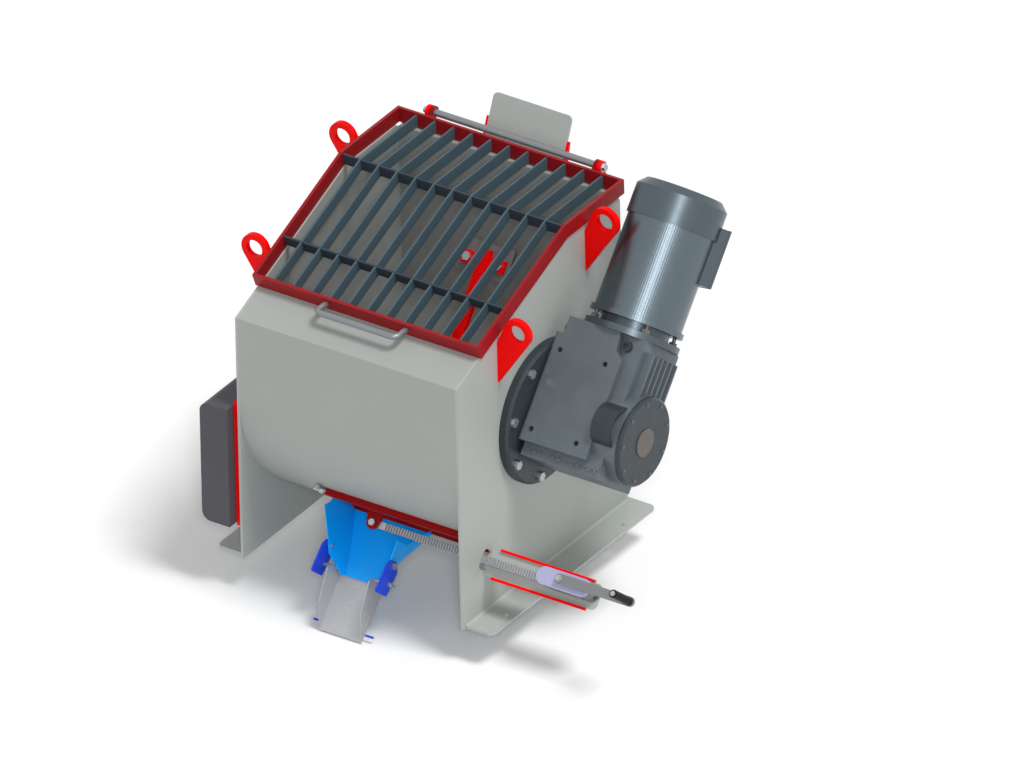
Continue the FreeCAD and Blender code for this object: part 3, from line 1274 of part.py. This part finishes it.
def make_chute():
    """Chute under the outlet, open in front, cut low on the right for rack and ear."""
    outer = hull(chute_rings(0))
    inside = chute_rings(d.chute_thick)
    inner = hull([beyond(inside[0], inside[1])] + inside + [beyond(inside[2], inside[1])])
    trough = rod((-d.body_length, 0, d.axis_height), (1, 0, 0), d.body_depth,
                 2 * d.body_length)
    notch = [(-150, 400), (-150, 150), (-239, 150), (-284, 146), (-318, 148), (-349, 172),
             (-393, 209), (-450, 209), (-450, 400)]
    notch = prism([(d.lip_half, y, z) for y, z in notch], (d.body_depth, 0, 0))
    rails = [node for node in nodes if node.Label == "gate_rails"][0].Shape
    shape = outer.cut([inner, trough, notch, rails])
    stud_at = TILTED.multVec(gate_wall_point())
    stud = rod(tuple(stud_at), (-1, 0, 0), d.wing_bolt, d.wing_reach)
    bolts = [rod((side * d.bracket_half, -d.bracket_bolt_front, d.bracket_bolt_low),
                 (-side, 0, 0), d.bracket_bolt, d.bracket_half / 6) for side in (-1, 1)]
    shape = shape.cut([stud] + bolts)
    shape = max(shape.Solids, key=lambda item: item.Volume)
    free_form("discharge_chute", shape)

    washer_x = d.mouth_half - d.guide_start + d.seat_gap
    washer = rod(tuple(stud_at - V(washer_x, 0, 0)), (-1, 0, 0), 1.6 * d.wing_bolt,
                 d.chute_thick)
    nut_at = stud_at - V(washer_x + d.chute_thick, 0, 0)
    hub = rod(tuple(nut_at), (-1, 0, 0), 1.6 * d.wing_bolt, d.wing_bolt)
    wing = box((-1.6 * d.wing_bolt, -0.4 * d.wing_bolt), (-2.2 * d.wing_bolt, 2.2 * d.wing_bolt),
               (-d.wing_bolt / 4, d.wing_bolt / 4))
    wing.rotate(V(0, 0, 0), V(1, 0, 0), -d.tilt - d.wing_angle)
    wing.translate(nut_at)
    free_form("wing_nut", group([stud, washer.cut(stud), joined([hub, wing]).cut(stud)]))

    outline = [(-418, 128), (-392, 132), (-368, 112), (-366, 74), (-428, 24), (-480, 68)]
    pivot_bore = rod((-d.body_depth, -d.pivot_front, d.pivot_low), (1, 0, 0),
                     d.pivot_dia + 2 * d.fit, 2 * d.body_depth)
    plates = []
    screws = []
    for side, hole in zip((-1, 1), bolts):
        plate = prism([(side * (d.bracket_half - d.bracket_thick), y, z) for y, z in outline],
                      (side * d.bracket_thick, 0, 0))
        plate = plate.makeFillet(8, [edge for edge in plate.Edges if along(edge, 0)])
        plates.append(plate.cut([outer, pivot_bore, hole]))
        seat = (side * d.bracket_half, -d.bracket_bolt_front, d.bracket_bolt_low)
        screws.append(bolt(seat, (-side, 0, 0), d.bracket_bolt, d.bracket_half / 6))
    free_form("chute_brackets", group(plates))
    free_form("bracket_bolts", group(screws))


def gate_wall_point():
    """Middle of the left end of the front gate rail, where the chute's stud stands."""
    angle = math.radians(d.wing_angle)
    radius = d.body_depth / 2 + d.guide_high / 2
    return V(-d.guide_start, -radius * math.sin(angle), -radius * math.cos(angle))


def make_extension():
    """Channel hinged below the chute, with the pins it swings on and a rod at its end."""
    slope = math.radians(d.ext_slope)
    down = V(0, -math.cos(slope), -math.sin(slope))
    lift = V(0, -math.sin(slope), math.cos(slope))
    start = V(0, -d.ext_front, d.ext_low)
    end = start + down * d.ext_long
    floor = prism([p - V(d.ext_half, 0, 0) for p in (start, end, end + lift * d.ext_thick,
                                                     start + lift * d.ext_thick)],
                  V(2 * d.ext_half, 0, 0))
    tall = V(0, 0, d.ext_wall_end / math.cos(slope))
    outline = [start, end, end + tall, V(0, -452, 78), V(0, -430, 76), V(0, -417, 67),
               V(0, -410, 54), V(0, -392, 44)]
    walls = [prism([p + V(side * d.ext_half, 0, 0) for p in outline],
                   V(-side * d.ext_thick, 0, 0)) for side in (-1, 1)]
    rod_at = end - lift * (d.rod_dia / 2 + d.fit) - down * d.rod_in
    cross = rod((-d.rod_half, rod_at.y, rod_at.z), (1, 0, 0), d.rod_dia, 2 * d.rod_half)
    free_form("extension_chute", joined([floor] + walls))
    pins = [cross]
    inner = d.bracket_half - d.bracket_thick - d.gate_gap
    for side in (-1, 1):
        def pin(near, far, diameter):
            return rod((side * near, -d.pivot_front, d.pivot_low), (side, 0, 0), diameter,
                       far - near)
        nut = hexagon((side * (d.bracket_half + d.gate_gap), -d.pivot_front, d.pivot_low),
                      (side, 0, 0), 1.7 * d.pivot_dia, 0.8 * d.pivot_dia)
        pins.append(joined([pin(d.ext_half, d.pivot_half, d.pivot_dia),
                            pin(d.ext_half, inner, 1.4 * d.pivot_dia), nut]))
    free_form("extension_pins", group(pins))


# Assembly, checks and export

def main():
    make_end_plates()
    make_trough()
    make_lifting_eyes()
    make_grille()
    make_hinge()
    make_gear_unit()
    make_motor()
    make_bearing()
    make_agitator()
    make_control_box()
    make_gate()
    make_tray()
    make_drive()
    make_chute()
    make_extension()
    doc.recompute()
    for obj in doc.Objects:
        if "Invalid" in obj.State or "Error" in obj.State:
            raise RuntimeError("%s failed: %s" % (obj.Label, obj.State))
    for node in nodes:
        if node.Shape.isNull() or not node.Shape.isValid():
            raise RuntimeError("%s has no valid shape" % node.Label)
        node.Shape.exportStep(os.path.join("parts", node.Label + ".step"))


main()
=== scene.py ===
"""Trough mixer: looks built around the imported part, in metres, in the part's own frame."""

import math

import bmesh
import bpy
from mathutils import Matrix, Vector


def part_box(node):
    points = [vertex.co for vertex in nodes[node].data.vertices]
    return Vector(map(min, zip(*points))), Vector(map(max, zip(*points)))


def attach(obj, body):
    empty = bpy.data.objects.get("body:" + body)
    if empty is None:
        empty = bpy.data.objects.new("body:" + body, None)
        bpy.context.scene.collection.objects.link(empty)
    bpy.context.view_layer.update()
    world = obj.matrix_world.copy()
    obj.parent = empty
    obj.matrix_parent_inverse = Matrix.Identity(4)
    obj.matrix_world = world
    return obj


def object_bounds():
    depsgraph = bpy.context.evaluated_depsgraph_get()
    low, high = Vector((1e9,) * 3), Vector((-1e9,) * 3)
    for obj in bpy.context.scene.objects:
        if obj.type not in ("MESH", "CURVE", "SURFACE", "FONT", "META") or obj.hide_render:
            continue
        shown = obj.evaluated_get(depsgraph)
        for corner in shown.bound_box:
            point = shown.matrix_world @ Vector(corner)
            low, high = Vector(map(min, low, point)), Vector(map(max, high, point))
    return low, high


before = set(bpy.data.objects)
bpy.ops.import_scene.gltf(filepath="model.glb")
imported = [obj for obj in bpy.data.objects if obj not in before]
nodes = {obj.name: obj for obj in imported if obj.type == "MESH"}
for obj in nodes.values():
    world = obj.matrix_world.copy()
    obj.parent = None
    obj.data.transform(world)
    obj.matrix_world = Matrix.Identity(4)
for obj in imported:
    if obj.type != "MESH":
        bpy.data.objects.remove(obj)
cad_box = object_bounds()

# Frame of the gear unit and its motor, which lean back about the mixing shaft

AXIS_HEIGHT = 0.541
MOTOR_X = 0.598
TILT = math.radians(40)
TILTED = Matrix.Translation((0, 0, AXIS_HEIGHT)) @ Matrix.Rotation(-TILT, 4, "X")

# Camera, as the photograph: parallel view from the right, above and in front

AZIMUTH = math.radians(34.74)
ELEVATION = math.radians(30.99)
ROLL = math.radians(1.49)
VIEW_WIDTH = 3.022
VIEW_CENTRE = Vector((0.292, 0.0, 0.594))
VIEW_DISTANCE = 8.0
VIEW_REACH = 60.0


def make_camera():
    """Parallel camera that looks at the view's centre."""
    data = bpy.data.cameras.new("camera")
    data.type = "ORTHO"
    data.ortho_scale = VIEW_WIDTH
    data.clip_end = VIEW_REACH
    camera = bpy.data.objects.new("camera", data)
    bpy.context.scene.collection.objects.link(camera)
    turn = (Matrix.Rotation(AZIMUTH, 4, "Z") @ Matrix.Rotation(math.pi / 2 - ELEVATION, 4, "X")
            @ Matrix.Rotation(-ROLL, 4, "Z"))
    back = turn.to_3x3() @ Vector((0, 0, 1))
    camera.matrix_world = Matrix.Translation(VIEW_CENTRE + back * VIEW_DISTANCE) @ turn
    bpy.context.scene.camera = camera


# Steps that the materials and the world are made of

NOISE_RANGE = (0.3, 0.7)


def srgb(red, green, blue):
    """Linear colour from the usual 0 to 255 values."""
    def linear(value):
        value = value / 255
        return value / 12.92 if value <= 0.04045 else ((value + 0.055) / 1.055) ** 2.4
    return (linear(red), linear(green), linear(blue), 1.0)


def new_material(name):
    """Material with its node tree and its shader."""
    material = bpy.data.materials.new(name)
    material.use_nodes = True
    tree = material.node_tree
    return material, tree, tree.nodes["Principled BSDF"]


def calculate(tree, operation, first, second=None):
    """One step of arithmetic on a socket and, where given, a second socket or a number."""
    node = tree.nodes.new("ShaderNodeMath")
    node.operation = operation
    tree.links.new(first, node.inputs[0])
    if isinstance(second, (int, float)):
        node.inputs[1].default_value = second
    elif second is not None:
        tree.links.new(second, node.inputs[1])
    return node.outputs[0]


def noise(tree, scale, detail, stretch=None):
    """Noise in the object's own coordinates, which are those of the part."""
    source = tree.nodes.new("ShaderNodeTexCoord").outputs["Object"]
    if stretch:
        mapping = tree.nodes.new("ShaderNodeMapping")
        mapping.inputs["Scale"].default_value = stretch
        tree.links.new(source, mapping.inputs["Vector"])
        source = mapping.outputs["Vector"]
    texture = tree.nodes.new("ShaderNodeTexNoise")
    texture.inputs["Scale"].default_value = scale
    texture.inputs["Detail"].default_value = detail
    tree.links.new(source, texture.inputs["Vector"])
    return texture.outputs["Fac"]


def spread(tree, value, low, high):
    """Noise, which lies mostly within NOISE_RANGE, spread from a low to a high value."""
    node = tree.nodes.new("ShaderNodeMapRange")
    node.inputs["From Min"].default_value = NOISE_RANGE[0]
    node.inputs["From Max"].default_value = NOISE_RANGE[1]
    node.inputs["To Min"].default_value = low
    node.inputs["To Max"].default_value = high
    tree.links.new(value, node.inputs["Value"])
    return node.outputs["Result"]


def tint(tree, shader, colour, value, amount):
    """Colour that gets darker and lighter by an amount as the noise goes."""
    mix = tree.nodes.new("ShaderNodeMix")
    mix.data_type = "RGBA"
    for socket, share in (("A", 1 - amount), ("B", 1 + amount)):
        shade = tuple(min(1.0, channel * share) for channel in colour[:3])
        mix.inputs[socket].default_value = shade + (1,)
    tree.links.new(spread(tree, value, 0.0, 1.0), mix.inputs["Factor"])
    tree.links.new(mix.outputs["Result"], shader.inputs["Base Color"])


def roughen(tree, shader, value, low, high):
    """Roughness that goes from a low to a high value as the noise goes."""
    tree.links.new(spread(tree, value, low, high), shader.inputs["Roughness"])


def bump(tree, shader, height, distance, strength):
    """Fine relief, with its distance in metres."""
    node = tree.nodes.new("ShaderNodeBump")
    node.inputs["Strength"].default_value = strength
    node.inputs["Distance"].default_value = distance
    tree.links.new(height, node.inputs["Height"])
    tree.links.new(node.outputs["Normal"], shader.inputs["Normal"])


def motor_waves(tree, count):
    """Waves round the motor's axis: each crest is a rib that runs along the motor."""
    source = tree.nodes.new("ShaderNodeTexCoord").outputs["Object"]
    mapping = tree.nodes.new("ShaderNodeMapping")
    mapping.inputs["Rotation"].default_value = (TILT, 0, 0)
    mapping.inputs["Location"].default_value = (-MOTOR_X, AXIS_HEIGHT * math.sin(TILT),
                                                -AXIS_HEIGHT * math.cos(TILT))
    tree.links.new(source, mapping.inputs["Vector"])
    parts = tree.nodes.new("ShaderNodeSeparateXYZ")
    tree.links.new(mapping.outputs["Vector"], parts.inputs["Vector"])
    angle = calculate(tree, "ARCTAN2", parts.outputs["Y"], parts.outputs["X"])
    return calculate(tree, "SINE", calculate(tree, "MULTIPLY", angle, count))


# Light: two soft suns, each with the direction that it comes from, its energy and its width
# in degrees, and a white world that is brighter where it is seen than where it lights

SUNS = {
    "key_light": ((0.42, -0.02, 0.90), 2.1, 16),
    "front_light": ((0.49, -0.70, 0.52), 1.0, 8),
}
WORLD_LIGHT = 0.5
WORLD_SEEN = 1.0


def make_suns():
    for name, (direction, energy, width) in SUNS.items():
        sun = bpy.data.lights.new(name, "SUN")
        sun.energy = energy
        sun.angle = math.radians(width)
        lamp = bpy.data.objects.new(name, sun)
        lamp.rotation_euler = Vector(direction).to_track_quat("Z", "Y").to_euler()
        bpy.context.scene.collection.objects.link(lamp)


def make_world():
    """White surroundings, at full strength for the camera, in reflections and through glass."""
    world = bpy.data.worlds.new("world")
    bpy.context.scene.world = world
    world.use_nodes = True
    tree = world.node_tree
    background = tree.nodes["Background"]
    background.inputs["Color"].default_value = (1, 1, 1, 1)
    rays = tree.nodes.new("ShaderNodeLightPath").outputs
    seen = rays["Is Camera Ray"]
    for kind in ("Is Glossy Ray", "Is Transmission Ray"):
        seen = calculate(tree, "MAXIMUM", seen, rays[kind])
    strength = tree.nodes.new("ShaderNodeMapRange")
    strength.inputs["To Min"].default_value = WORLD_LIGHT
    strength.inputs["To Max"].default_value = WORLD_SEEN
    tree.links.new(seen, strength.inputs["Value"])
    tree.links.new(strength.outputs["Result"], background.inputs["Strength"])


# Floor, just under the lowest point of the part

FLOOR_HALF = 14.0
FLOOR_GAP = 0.004
FLOOR_GREY = 0.86
FLOOR_ROUGHNESS = 0.9


def make_floor():
    level = cad_box[0][2] - FLOOR_GAP
    corners = [(x * FLOOR_HALF, y * FLOOR_HALF, level)
               for x, y in ((-1, -1), (1, -1), (1, 1), (-1, 1))]
    mesh = bpy.data.meshes.new("floor")
    mesh.from_pydata(corners, [], [(0, 1, 2, 3)])
    floor = bpy.data.objects.new("floor", mesh)
    bpy.context.scene.collection.objects.link(floor)
    material, _, shader = new_material("floor")
    shader.inputs["Base Color"].default_value = (FLOOR_GREY, FLOOR_GREY, FLOOR_GREY, 1)
    shader.inputs["Roughness"].default_value = FLOOR_ROUGHNESS
    shader.inputs["Specular IOR Level"].default_value = 0.0
    floor.data.materials.append(material)


# Kinds of finish

def paint(name, colour, roughness=0.42, vary=0.03, coat=0.0, gloss=0.35):
    """Sprayed paint: even colour with a faint cloud, and a fine orange peel."""
    material, tree, shader = new_material(name)
    cloud = noise(tree, scale=7.0, detail=4.0)
    tint(tree, shader, colour, cloud, amount=vary)
    peel = noise(tree, scale=900.0, detail=1.0)
    bump(tree, shader, peel, distance=0.00012, strength=0.5)
    wear = noise(tree, scale=23.0, detail=3.0)
    roughen(tree, shader, wear, low=roughness - 0.05, high=roughness + 0.05)
    shader.inputs["Specular IOR Level"].default_value = gloss
    shader.inputs["Coat Weight"].default_value = coat
    shader.inputs["Coat Roughness"].default_value = 0.15
    return material


def casting(name, colour, metal=0.0):
    """Painted cast iron: paint over a coarser skin."""
    material, tree, shader = new_material(name)
    cloud = noise(tree, scale=16.0, detail=5.0)
    tint(tree, shader, colour, cloud, amount=0.06)
    skin = noise(tree, scale=420.0, detail=3.0)
    bump(tree, shader, skin, distance=0.0004, strength=0.3)
    wear = noise(tree, scale=60.0, detail=3.0)
    roughen(tree, shader, wear, low=0.33, high=0.44)
    shader.inputs["Metallic"].default_value = metal
    shader.inputs["Specular IOR Level"].default_value = 0.35
    return material


def metallic(name, colour, roughness, metal, ribs=0):
    """Metallic paint, on fine ribs along the motor where a number of ribs is given."""
    material, tree, shader = new_material(name)
    if ribs:
        bump(tree, shader, motor_waves(tree, ribs), distance=0.0002, strength=0.3)
    grain = noise(tree, scale=260.0, detail=3.0)
    tint(tree, shader, colour, grain, amount=0.05)
    roughen(tree, shader, grain, low=roughness - 0.04, high=roughness + 0.05)
    shader.inputs["Metallic"].default_value = metal
    return material


def steel(name, colour, roughness, metal, stretch=None):
    """Bare metal: its grain is drawn out along an axis whose stretch is below 1."""
    material, tree, shader = new_material(name)
    grain = noise(tree, scale=300.0, detail=4.0, stretch=stretch)
    tint(tree, shader, colour, grain, amount=0.07)
    roughen(tree, shader, grain, low=roughness - 0.08, high=roughness + 0.08)
    bump(tree, shader, grain, distance=0.00005, strength=0.4)
    shader.inputs["Metallic"].default_value = metal
    return material


def plastic(name, colour, roughness=0.4, gloss=0.3):
    """Moulded plastic or rubber with a fine skin."""
    material, tree, shader = new_material(name)
    cloud = noise(tree, scale=40.0, detail=3.0)
    tint(tree, shader, colour, cloud, amount=0.08)
    skin = noise(tree, scale=1200.0, detail=1.0)
    bump(tree, shader, skin, distance=0.0002, strength=0.4)
    shader.inputs["Roughness"].default_value = roughness
    shader.inputs["Specular IOR Level"].default_value = gloss
    return material


# The finishes, and the nodes that have them

MOTOR_RIBS = 120

# The trough sheet's paint is the end plates' grey made darker, as painted shade for its front
# face
SHADED_WALL = paint("wall_paint_with_painted_shade", srgb(153, 158, 155), vary=0.015, gloss=0.2)
PLATE = paint("plate_paint", srgb(162, 167, 163), vary=0.015, gloss=0.2)
GRILLE_RED = paint("grille_paint", srgb(140, 20, 26), vary=0.04, gloss=0.2)
BAR = paint("bar_paint", srgb(70, 88, 98), roughness=0.5, vary=0.05, gloss=0.15)
CROSS = paint("cross_bar_paint", srgb(52, 62, 71), roughness=0.5, vary=0.05, gloss=0.15)
RED = paint("red_paint", srgb(236, 0, 0), roughness=0.5, gloss=0.1)
RAIL_RED = paint("rail_paint", srgb(132, 0, 4), roughness=0.38, gloss=0.15)
GEAR = casting("gear_paint", srgb(92, 101, 107), metal=0.25)
COVER = casting("gear_cover_paint", srgb(48, 57, 62), metal=0.25)
MOTOR = metallic("motor_paint", srgb(100, 111, 118), roughness=0.33, metal=1.0,
                 ribs=MOTOR_RIBS)
SHEET = metallic("cowl_paint", srgb(84, 94, 101), roughness=0.34, metal=0.8)
CAP = plastic("cap_plastic", srgb(92, 84, 79))
LAVENDER = paint("cover_paint", srgb(160, 160, 192), roughness=0.35)
DRIVE = casting("drive_paint", srgb(98, 100, 108))
BLUE = paint("chute_paint", srgb(8, 164, 255), roughness=0.36, vary=0.015, coat=0.1,
             gloss=0.2)
DEEP_BLUE = paint("bracket_paint", srgb(34, 66, 208), roughness=0.4, vary=0.05, gloss=0.2)
BARE = steel("bare_steel", srgb(172, 173, 177), roughness=0.42, metal=0.5,
             stretch=(0.15, 1.0, 1.0))
TUBE = steel("tube_steel", srgb(128, 131, 135), roughness=0.38, metal=0.5,
             stretch=(0.05, 1.0, 1.0))
BOLT = steel("bolt_steel", srgb(172, 174, 176), roughness=0.32, metal=0.8)
DARK = steel("dark_steel", srgb(108, 104, 102), roughness=0.5, metal=0.4)
BOX = paint("box_paint", srgb(76, 76, 82), roughness=0.45, gloss=0.15)
GRIP = plastic("grip_plastic", srgb(26, 26, 28), roughness=0.5, gloss=0.08)
ARM = paint("arm_paint", srgb(116, 118, 120), roughness=0.4)
BLACK = plastic("black_plastic", srgb(26, 26, 28), roughness=0.55)
RUBBER = plastic("rubber", srgb(30, 30, 30), roughness=0.7)

FINISH = {
    SHADED_WALL: ["trough_shell"],
    PLATE: ["right_end_plate", "left_end_plate", "rest_plate", "rack_tray"],
    ARM: ["crank_arm"],
    GRILLE_RED: ["grille_frame"],
    BAR: ["grille_bars"],
    CROSS: ["grille_cross_bars"],
    RED: ["lifting_eyes", "rear_brackets", "box_carrier", "tray_strips", "paddle_arms"],
    RAIL_RED: ["gate_rails", "gate_ear", "grille_lugs"],
    GEAR: ["gearbox_housing"],
    COVER: ["gearbox_flange", "intermediate_cover", "output_cover", "oil_plugs"],
    MOTOR: ["motor_barrel"],
    SHEET: ["fan_cowl", "motor_end_shield", "motor_adapter", "terminal_box",
            "terminal_box_lid"],
    CAP: ["shaft_cap"],
    LAVENDER: ["drive_cover"],
    DRIVE: ["drive_housing", "bearing_housing"],
    BLUE: ["discharge_chute"],
    DEEP_BLUE: ["chute_brackets"],
    BARE: ["gate_plate", "gate_rack", "extension_chute"],
    TUBE: ["hinge_tube", "grille_handle"],
    BOLT: ["hinge_bolts", "flange_bolts", "bearing_bolts", "bracket_bolts", "wing_nut",
           "paddle_bolts", "ear_bolt", "crank_fasteners", "extension_pins"],
    DARK: ["adapter_bolts", "bearing", "mixing_shaft", "paddle_blades", "motor_shaft",
           "rack_pinion", "crank_shaft"],
    BOX: ["control_box", "control_box_lid"],
    GRIP: ["crank_grip"],
    BLACK: ["motor_fan"],
    RUBBER: ["shaft_seals"],
}


def finish_nodes():
    """Give every solid of the part its finish."""
    for material, names in FINISH.items():
        for name in names:
            for row in nodes[name].material_slots:
                row.material = material


# Making of small pieces

def new_piece(build, name, material, body, place=Matrix.Identity(4)):
    """Piece of what was drawn, moved to its place and riding on a body."""
    mesh = bpy.data.meshes.new(name)
    build.to_mesh(mesh)
    build.free()
    mesh.transform(place)
    mesh.materials.append(material)
    piece = bpy.data.objects.new(name, mesh)
    bpy.context.scene.collection.objects.link(piece)
    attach(piece, body)


def add_block(build, low, high):
    """Box between two corners."""
    for corner in bmesh.ops.create_cube(build, size=1.0)["verts"]:
        corner.co = Vector(a + (b - a) * (c + 0.5) for a, b, c in zip(low, high, corner.co))


def round_edges(build, edges, offset, segments):
    """Edges cut back by an offset and rounded in a number of steps."""
    bmesh.ops.bevel(build, geom=edges, offset=offset, segments=segments, affect="EDGES")


# A screw's head is round with a hexagon socket. Each level of it has a radius as a share of
# its width, a height as a share of its own, and whether the level is in the socket

SCREW_SIDES = 24
SCREW_LEVELS = (
    (0.50, 0.0, False),
    (0.50, 0.8, False),
    (0.42, 1.0, False),
    (0.25, 1.0, True),
    (0.25, 0.4, True),
)


def screw_ring(build, at, radius, level, in_socket):
    """Points of one level of a screw's head: a circle or, in the socket, a hexagon."""
    ring = []
    for step in range(SCREW_SIDES):
        angle = 2 * math.pi * step / SCREW_SIDES
        reach = radius
        if in_socket:
            from_flat = angle % (math.pi / 3) - math.pi / 6
            reach = radius * math.cos(math.pi / 6) / math.cos(from_flat)
        point = Vector((reach * math.cos(angle), reach * math.sin(angle), level))
        ring.append(build.verts.new(at @ point))
    return ring


def add_screw(build, place, axis, width, height):
    """Screw's head that stands out along an axis."""
    turn = Vector(axis).to_track_quat("Z", "Y").to_matrix().to_4x4()
    at = Matrix.Translation(place) @ turn
    rings = [screw_ring(build, at, width * radius, height * level, in_socket)
             for radius, level, in_socket in SCREW_LEVELS]
    for lower, upper in zip(rings, rings[1:]):
        for step in range(SCREW_SIDES):
            after = (step + 1) % SCREW_SIDES
            build.faces.new((lower[step], lower[after], upper[after], upper[step]))
    build.faces.new(rings[-1])
    build.faces.new(rings[0][::-1])


# Screws of the gear unit's output cover, on a circle about the mixing shaft

COVER_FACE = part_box("output_cover")[1][0]
COVER_SCREWS = 9
COVER_CIRCLE = 0.119
COVER_SCREW_WIDTH = 0.011
COVER_SCREW_HEIGHT = 0.003


def make_cover_screws():
    build = bmesh.new()
    for step in range(COVER_SCREWS):
        angle = 2 * math.pi * step / COVER_SCREWS
        place = Vector((COVER_FACE, COVER_CIRCLE * math.cos(angle),
                        COVER_CIRCLE * math.sin(angle)))
        add_screw(build, place, (1, 0, 0), COVER_SCREW_WIDTH, COVER_SCREW_HEIGHT)
    new_piece(build, "cover_screws", DARK, "frame", TILTED)


# Screws of the strip at the gear unit's foot, in pairs

STRIP_FRONT = -0.104
STRIP_LEVEL = -0.134
STRIP_PAIRS = (0.490, 0.555, 0.622, 0.682)
STRIP_PAIR_APART = 0.020
STRIP_SCREW_WIDTH = 0.014
STRIP_SCREW_HEIGHT = 0.004


def make_strip_screws():
    build = bmesh.new()
    for middle in STRIP_PAIRS:
        for side in (-1, 1):
            place = Vector((middle + side * STRIP_PAIR_APART / 2, STRIP_FRONT, STRIP_LEVEL))
            add_screw(build, place, (0, -1, 0), STRIP_SCREW_WIDTH, STRIP_SCREW_HEIGHT)
    new_piece(build, "strip_screws", DARK, "frame", TILTED)


# Fine beads on the front face of the gear unit's case, half sunk in it

CASE_FRONT = -0.133
BEAD_PLACES = (0.497, 0.583)
BEAD_LOW = 0.204
BEAD_HIGH = 0.276
BEAD_HALF = 0.0012
BEAD_PROUD = 0.0008
BEAD_SUNK = 0.001
BEAD_ROUNDING = 0.0004


def make_case_beads():
    build = bmesh.new()
    for x in BEAD_PLACES:
        add_block(build, (x - BEAD_HALF, CASE_FRONT - BEAD_PROUD, BEAD_LOW),
                  (x + BEAD_HALF, CASE_FRONT + BEAD_SUNK, BEAD_HIGH))
    round_edges(build, build.edges[:], BEAD_ROUNDING, segments=2)
    new_piece(build, "case_beads", GEAR, "frame", TILTED)


# Upper edge of the trough sheet, bent out behind the grille's rear rail

LIP_SHORT = 0.001
LIP_OVERLAP = 0.007
LIP_REACH = 0.013
LIP_GAP = 0.0001
LIP_THICK = 0.003
LIP_ROUNDING = 0.001


def make_rear_lip():
    low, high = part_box("trough_shell")
    bottom = high[2] + LIP_GAP
    build = bmesh.new()
    add_block(build, (low[0] + LIP_SHORT, high[1] - LIP_OVERLAP, bottom),
              (high[0] - LIP_SHORT, high[1] + LIP_REACH, bottom + LIP_THICK))
    round_edges(build, build.edges[:], LIP_ROUNDING, segments=3)
    # The lip has the trough sheet's grey, which carries its painted shade
    new_piece(build, "rear_lip", SHADED_WALL, "frame")


# Blue sleeves on the two ends of the rod under the extension chute

ROD_HEIGHT = -0.0934
ROD_FRONT = -0.4829
SLEEVE_INNER_END = 0.0775
SLEEVE_OUTER_END = 0.1068
SLEEVE_RADIUS = 0.0034
SLEEVE_SIDES = 32


def make_rod_sleeves():
    build = bmesh.new()
    for side in (-1, 1):
        middle = side * (SLEEVE_INNER_END + SLEEVE_OUTER_END) / 2
        place = (Matrix.Translation((middle, ROD_FRONT, ROD_HEIGHT))
                 @ Matrix.Rotation(math.pi / 2, 4, "Y"))
        bmesh.ops.create_cone(build, cap_ends=True, segments=SLEEVE_SIDES,
                              radius1=SLEEVE_RADIUS, radius2=SLEEVE_RADIUS,
                              depth=SLEEVE_OUTER_END - SLEEVE_INNER_END, matrix=place)
    rims = [edge for edge in build.edges
            if abs(edge.verts[0].co.x - edge.verts[1].co.x) < SLEEVE_RADIUS / 10]
    round_edges(build, rims, SLEEVE_RADIUS / 4, segments=3)
    new_piece(build, "rod_sleeves", DEEP_BLUE, "extension")


bpy.context.scene.view_settings.view_transform = "Standard"
make_camera()
make_suns()
make_world()
make_floor()
finish_nodes()
make_cover_screws()
make_strip_screws()
make_case_beads()
make_rear_lip()
make_rod_sleeves()
